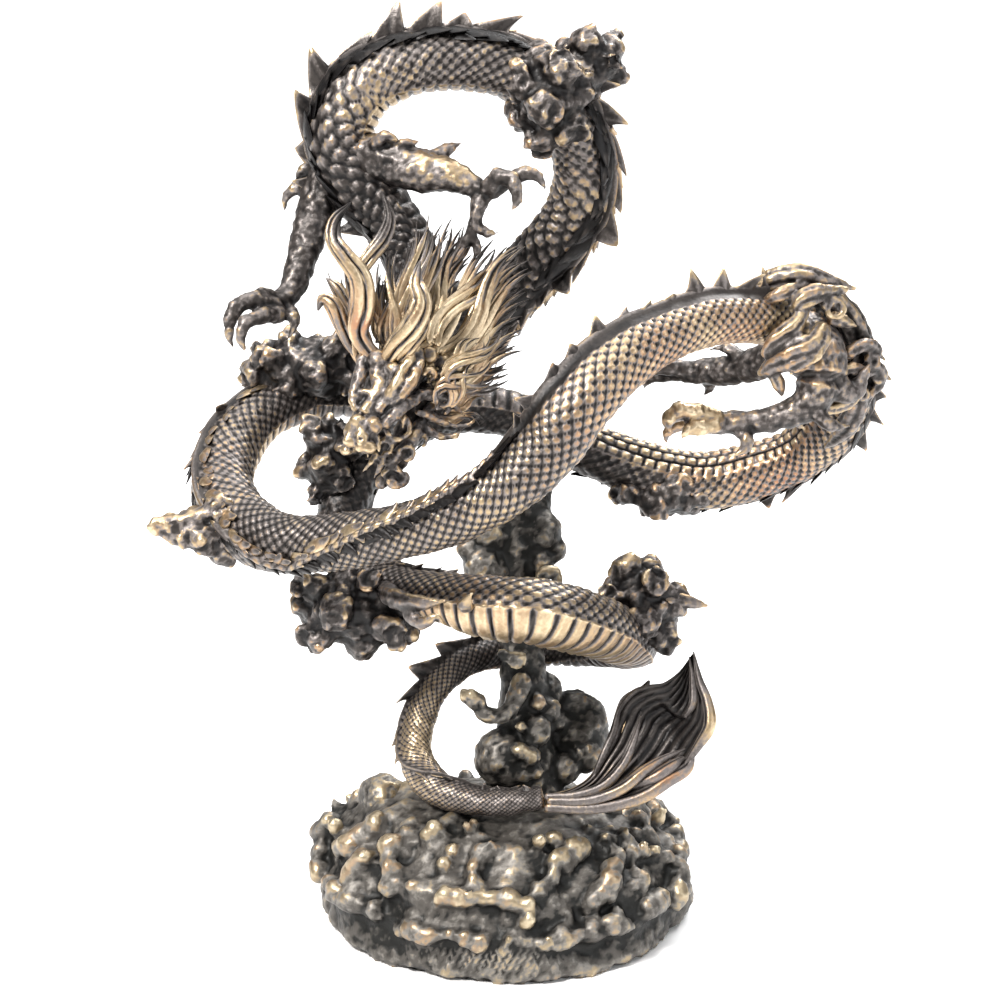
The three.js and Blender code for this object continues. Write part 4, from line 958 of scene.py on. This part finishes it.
for name, rows in cloudRows.items():
    parts = [part for row in rows for part in cloudLumps(*row)]
    if name == "cloudTip":
        for offset in (-1.6, 1.2):
            parts.append(limb([[-56, -12, 89.5 + offset, 4], [-63, -15, 90 + offset, 3.0], [-68.5, -16.6, 90.6 + offset / 2, 1.8],
                               [-72, -17, 91.2, 0.4]], 14, 24))
    cloud = melt(join(parts, name), cloudSizes["voxel"], 1)
    roughen(cloud, "CLOUDS", 4.0, 2.4, noise_depth=1)
    roughen(cloud, "MARBLE", 4.5, 0.75, turbulence=9, noise_depth=1)
    roughen(cloud, "CLOUDS", 0.9, 0.45, noise_depth=2)
    markRubAndShade(cloud, 0.25, (3, 1.4), (24, 0.42), None, 0.17)
    finishPiece(cloud, "dragon", dragonBronze)
strutRows = [[[-16, -14, 138, 3], [-8, 8, 131, 3.5], [-3, 15, 128, 3]], [[-19, -24, 124, 4.5], [-22, -8, 113, 4.2], [-24, 12, 104, 4]]]
struts = melt(join([limb(rows, 14, 26) for rows in strutRows], "struts"), 0.6, 1)
roughen(struts, "CLOUDS", 2.5, 1.2, noise_depth=3)
markRubAndShade(struts, 0.12, (3, 1.2), (20, 0.5))
finishPiece(struts, "dragon", dragonBronze)
print("clouds done")


# the fan of hair at the end of the tail, cupped like a hand: its left edge and its right edge
fanEdges = {
    "left": [[8, -20, 33.4, 1], [13.7, -19, 34.6, 1], [17.5, -17, 36.5, 1], [19.8, -15, 40.6, 1], [21.8, -13, 44.6, 1],
             [22.6, -11.5, 48, 1], [24.2, -11, 51.6, 1], [28.4, -10.5, 53.6, 1], [32.2, -10, 53.6, 1], [35.6, -9, 55.6, 1],
             [38.8, -8, 60, 1]],
    "right": [[8, -21, 30, 1], [16.4, -21.5, 29.8, 1], [24.6, -21, 30.7, 1], [30.8, -20, 33.4, 1], [36, -18.4, 36.4, 1],
              [38.6, -17.4, 40, 1], [40.4, -17.2, 43.6, 1], [42.2, -16.4, 47.6, 1], [41.6, -14.2, 51.8, 1],
              [40, -11, 55.6, 1], [38.9, -8, 60, 1]],
}
fanSizes = {"thickness": 0.9, "strands": 11, "grooveDepth": 0.9, "hollow": 0.55}
fanLeft, fanRight = Path(fanEdges["left"]), Path(fanEdges["right"])
fanWorn = {}


def fanPlace(t, angle):
    a, _, _ = fanLeft.place(fanLeft.atLength(t * fanLeft.length))
    b, _, _ = fanRight.place(fanRight.atLength(t * fanRight.length))
    across = np.cos(angle)
    half = np.linalg.norm(b - a, axis=1) / 2
    out = unit(np.cross(b - a, fanLeft.place(t)[1]) + (1e-6, -1e-6, 0))
    out = np.where((out[:, 1] > 0)[:, None], -out, out)  # towards the front
    wave = across * fanSizes["strands"] / 2 * math.pi + 1.3 * np.sin(3.2 * t + 0.4)
    ridge = np.abs(np.cos(wave)) ** 0.8
    bowl = np.clip((t - 0.35) / 0.3, 0, 1)
    depth = -fanSizes["hollow"] * half * (1 - across ** 2) * (0.25 + 0.75 * bowl)
    fold = 0.9 * np.sin(5 * across + 7 * t) * np.clip(half / 6, 0, 1) * bowl
    front = np.sin(angle)
    body = np.sign(front) * np.abs(front) ** 0.5 * (fanSizes["thickness"] + fanSizes["grooveDepth"] * ridge * (1 - 0.35 * bowl))
    body *= np.clip(half / 3, 0.25, 1)
    close = np.where((t < 1e-6) | (t > 1 - 1e-6), 0, 1)
    fanWorn["rub"] = 0.26 * ridge * (1 - 0.6 * bowl) + 0.3 * np.abs(across) ** 10 - 0.1 * bowl
    return (a + b) / 2 + (b - a) / 2 * across[:, None] + out * ((depth + fold + body) * close)[:, None]


fanBlade = roundShape(128, 110, fanPlace)
markRubAndShade(fanBlade, 0.2, (2, 0.8), (12, 0.3), fanWorn["rub"], 0, 0.5)
parts = []
for rows in (
    [[24, -12, 42, 2.4], [27, -8.5, 48.5, 2.2], [30, -6.5, 53.4, 0.3]],
    [[8, -21, 33.4, 0.9], [14.3, -21.8, 34.1, 1.1], [19.8, -21.4, 35.9, 1.2], [24, -19.4, 39.7, 1.1], [26.5, -16.5, 44.2, 0.8],
     [28, -13, 48, 0.15]],
    [[8.5, -21.6, 32.7, 1.0], [17.3, -23, 33.6, 1.2], [23.9, -22.8, 36.1, 1.3], [28.6, -21, 39.4, 1.2], [33, -18.8, 41.2, 0.8],
     [37, -17, 42.4, 0.15]],
    [[8, -22, 31.4, 1.1], [18.4, -23, 31.8, 1.4], [27.6, -22.6, 34, 1.6], [33.4, -21, 37.2, 1.6], [37.4, -19, 39, 1.3],
     [38.6, -17.6, 41.4, 0.5]],
    [[26, -21, 35.4, 0.6], [30.6, -21.4, 38, 1.3], [34, -20, 39.8, 1.3], [36.8, -18, 41, 0.4]],
    [[37, -18.4, 39.4, 0.6], [39.6, -17.8, 43.4, 1.1], [41.9, -17, 47.5, 1.5], [41.6, -14.8, 51.6, 1.2], [40, -11.6, 55.4, 0.9],
     [38.9, -8, 60.4, 0.15]],
    [[37, -14, 48, 0.5], [38.6, -13.6, 51, 1.0], [38.6, -11.6, 55, 0.8], [38, -8.8, 59.6, 0.12]],
    [[18, -18, 36, 0.5], [20.2, -16, 40.6, 0.9], [22.4, -13.6, 45, 0.9], [23.6, -12, 49, 0.6], [26.6, -11, 52.6, 0.6],
     [30, -10.6, 54, 0.15]],
):
    parts.append(limb(rows, 18, 34, 0.7, (0.35, -1, 0.35), 2, 0.4, True, 0.6))
strands = join(parts, "strands")
markRubAndShade(strands, 0.3, (2, 2.4), (8, 0.6), None, 0.08, 0.4)
tailFan = join([fanBlade, strands], "tailFan")
finishPiece(tailFan, "dragon", dragonBronze)
print("tail fan done")


# the rock base: the mound
moundSizes = {"radius": 40, "height": 28.5, "scallop": 0.9, "ribs": 11, "lean": 0.11, "drop": 0.45, "voxel": 0.68, "pinnacles": 34}
moundOutline = [
    [0, 0], [0.95, 0], [0.99, 0.05], [0.97, 0.26], [0.99, 0.36], [0.94, 0.44], [0.9, 0.62], [0.8, 0.7],
    [0.7, 0.86], [0.5, 0.95], [0, 1],
]
knobRidges = [  # chains of knobs: start and end as degrees round from the front and share of height, count, size
    [[-96, 0.8], [-76, 0.25], 5, 2.4], [[-46, 0.74], [-38, 0.5], 3, 2.6], [[-22, 0.6], [5, 0.6], 5, 2.0],
    [[-9, 0.62], [-11, 0.86], 3, 2.1], [[10, 0.66], [34, 0.88], 6, 2.1], [[26, 0.5], [46, 0.78], 5, 2.1],
    [[60, 0.34], [76, 0.54], 4, 2.2], [[-68, 0.36], [-40, 0.34], 5, 2.0], [[-30, 0.34], [-4, 0.34], 5, 1.7],
    [[10, 0.33], [40, 0.35], 6, 1.9], [[92, 0.4], [112, 0.7], 4, 2.4], [[135, 0.35], [165, 0.4], 5, 2.5],
    [[-150, 0.35], [-112, 0.45], 5, 2.5], [[-36, 0.86], [-30, 0.97], 2, 1.9], [[-70, 0.5], [-60, 0.8], 4, 2.1],
    [[-60, 0.45], [-52, 0.66], 3, 1.7], [[44, 0.36], [58, 0.4], 3, 2.0], [[66, 0.6], [74, 0.86], 4, 1.9],
    [[48, 0.6], [58, 0.84], 4, 1.7], [[-96, 0.5], [-104, 0.3], 3, 2.4], [[150, 0.5], [176, 0.8], 5, 2.2],
    [[-170, 0.5], [-140, 0.75], 5, 2.2], [[100, 0.7], [128, 0.86], 5, 2.2],
]


def moundSpot(degrees, radiusShare, heightShare, out=0.0):
    size = moundSizes
    angle = np.radians(degrees)
    skirt = np.sin(math.pi * heightShare)
    wave = skirt * (np.sin(size["ribs"] * angle) + 0.8 * np.sin(5 * angle + 6 * heightShare))
    radius = radiusShare * size["radius"] + size["scallop"] * wave * radiusShare + out
    x, y = radius * np.sin(angle), -radius * np.cos(angle)
    lean = 1 - size["lean"] * x / size["radius"]
    drop = 1 - size["drop"] * np.maximum(0, y / size["radius"] + 0.12)
    return np.stack([x, y, heightShare * size["height"] * lean * drop], -1)


def moundAt(degrees, height, out=0.0):
    shares = [z for _, z in moundOutline[1:]]
    widths = [r for r, _ in moundOutline[1:]]
    return moundSpot(np.array(degrees, float), np.interp(height, shares, widths), np.array(height, float), out)


def moundPlace(t, angle):
    outline = np.array(moundOutline)
    runs = np.concatenate([[0], np.cumsum(np.linalg.norm(np.diff(outline * (40, 28.5), axis=0), axis=1))])
    share = (1 - t) * runs[-1]
    return moundSpot(np.degrees(angle) + 90, np.interp(share, runs, outline[:, 0]), np.interp(share, runs, outline[:, 1]))


def knobChain(start, end, count, size):
    parts = []
    rows = []
    for i in range(2 * count + 1):
        share = i / (2 * count)
        spot = moundAt(start[0] + (end[0] - start[0]) * share + dice.uniform(-1.5, 1.5),
                       start[1] + (end[1] - start[1]) * share + dice.uniform(-0.02, 0.02), size * 0.3)
        rows.append([*spot, size * (0.7 if i % 2 else 0.9)])
        if i % 2:
            parts.append(ball(spot + (0, 0, size * 0.35), size * dice.uniform(0.85, 1.25), (1, 1, 1.1), 14, 10))
    parts.append(limb(rows, 12, 6 * count))
    return parts


def pinnacle(degrees, height, tall, thick):  # a lumpy finger of rock that stands on the mound
    foot = moundAt(degrees, height, -thick * 0.6)
    top = moundAt(degrees, height, tall * 0.25) + (dice.uniform(-1, 1), dice.uniform(-1, 1), tall)
    rows = []
    for share, size in ((0, 1.3), (0.35, 0.95), (0.6, 1.05), (0.82, 0.75), (1, 0.55)):
        rows.append([*(foot + (top - foot) * share + [dice.uniform(-0.3, 0.3) for _ in range(3)]), thick * size])
    return limb(rows, 10, 14)


parts = [roundShape(160, 110, moundPlace)]
for start, end, count, size in knobRidges:
    parts += knobChain(start, end, count, size)
for i in range(moundSizes["pinnacles"]):
    parts.append(pinnacle(dice.uniform(-180, 180), dice.uniform(0.4, 0.93), dice.uniform(2, 4.6), dice.uniform(0.9, 1.7)))
for i in range(90):  # loose knobs, most of them along the ledge
    degrees = dice.uniform(-180, 180)
    height = dice.choice((0.3, 0.34, 0.38, 0.44, 0.5, 0.62, 0.72, 0.8, 0.9)) + dice.uniform(-0.03, 0.03)
    size = dice.uniform(0.8, 2.0)
    parts.append(ball(moundAt(degrees, height) + (0, 0, size * 0.2), size, (1, 1, dice.uniform(0.8, 1.4)), 12, 8))
mound = melt(join(parts, "rockMound"), moundSizes["voxel"], 1)
roughen(mound, "CLOUDS", 8, 3.0, noise_depth=1)
roughen(mound, "CLOUDS", 2.6, 1.0, noise_depth=1)
roughen(mound, "CLOUDS", 0.9, 0.4, noise_depth=2)
points = readPoints(mound.data) / mm  # fine slanting cuts on the front of the skirt
turn = np.arctan2(points[:, 0], -points[:, 1])
low = np.clip(1 - np.abs(points[:, 2] - 6) / 5, 0, 1) * (np.hypot(points[:, 0], points[:, 1]) > 34)
low *= np.clip(1.2 - np.abs(turn + 0.12) / 0.45, 0, 1)
cut = low * np.sin(turn * 190 + points[:, 2] * 2.2)
out = points[:, :2] / np.maximum(np.hypot(points[:, 0], points[:, 1]), 1)[:, None]
points[:, :2] += out * (0.22 * cut)[:, None]
points[:, 2] = np.where(points[:, 2] < 0.4, 0, points[:, 2])
writePoints(mound.data, points * mm)
markRubAndShade(mound, 0.26, (3, 0.9), (30, 0.34), 0.1 * cut + 0.1 * low, 0.1)
finishPiece(mound, "rock_base", rockBronze)

# the column of rock inside the coil, with its lumps and curls
columnRows = [[4, 1, 10, 11], [4, 1, 24, 9], [4, 1, 36, 6.6], [4, 3, 47, 5.2], [3.5, 5, 57, 4.6], [2.5, 6, 68, 5.2],
              [2.5, 7, 77, 5.6], [4, 9, 84, 5.2], [6, 12, 90, 4], [6.5, 17, 95.5, 2.4]]
columnBalls = [
    [-0.5, -4, 35, 6.2], [14.5, 8, 37, 8], [6.5, -4, 41, 3.4], [4, -7, 34, 3], [8, 6, 46, 4.4], [-4.5, 2, 75.5, 4.6],
    [-3.5, 5, 82, 4.6], [7.5, 6, 82, 4.4], [7.8, 3, 76, 2.6], [-26, -2, 25, 5.2], [26, -4, 21, 4.8], [9, 0, 44, 2.6],
    [5, -4, 71, 2.6], [-2, 0, 70, 3], [1.6, 0, 66, 2.6], [8, 1, 70, 2.4], [10.5, 5, 78, 2.4], [-8, 3, 79, 2.6],
    [3, -8.6, 38.5, 1.7], [5.8, -8.4, 36.8, 1.9], [6.4, -8.2, 33.6, 1.6], [7, -6, 30, 1.6], [3.4, -6.6, 43, 1.5],
    [7, -3, 47, 1.6], [10, 2, 41, 3], [17, 2, 33, 4], [12, 0, 31, 4],
]
columnCurls = [
    [[-9.2, -6, 51.5, 0.4], [-8.4, -6.6, 49.6, 1.1], [-6.5, -7, 48.4, 1.5], [-3.4, -7, 45.6, 1.8], [-0.4, -6, 45.6, 1.9],
     [2.4, -4, 48.6, 1.9], [4, -1, 53, 1.7]],
    [[-4, -7.6, 48.6, 1.6], [-6.2, -7.4, 49.8, 1.4], [-7.6, -7.2, 52, 0.4]],
]
columnRings = [[[9.2, -2.5, 74.2], 2.4, 1.0, (0.1, -1, 0.2)], [[2.4, -6, 57.4], 1.9, 0.7, (0, -1, 0)],
               [[-0.6, -6, 58.4], 1.6, 0.6, (0.2, -1, 0)]]
parts = [limb(columnRows, 24, 60, 1.0, (0, 1, 0))]
parts += [ball((x, y, z), size, (1, 1, 1), 16, 12) for x, y, z, size in columnBalls]
parts += [limb(rows, 14, 36) for rows in columnCurls]
parts += [curl(at, size, thick, faces, 1.4, 0.6) for at, size, thick, faces in columnRings]
column = melt(join(parts, "rockColumn"), 0.66, 1)
roughen(column, "CLOUDS", 4, 1.6, noise_depth=2)
roughen(column, "CLOUDS", 1.3, 0.6, noise_depth=3)
markRubAndShade(column, 0.18, (3, 1.8), (20, 0.5), None, 0.08)
finishPiece(column, "rock_base", rockBronze)
print("rock base done")
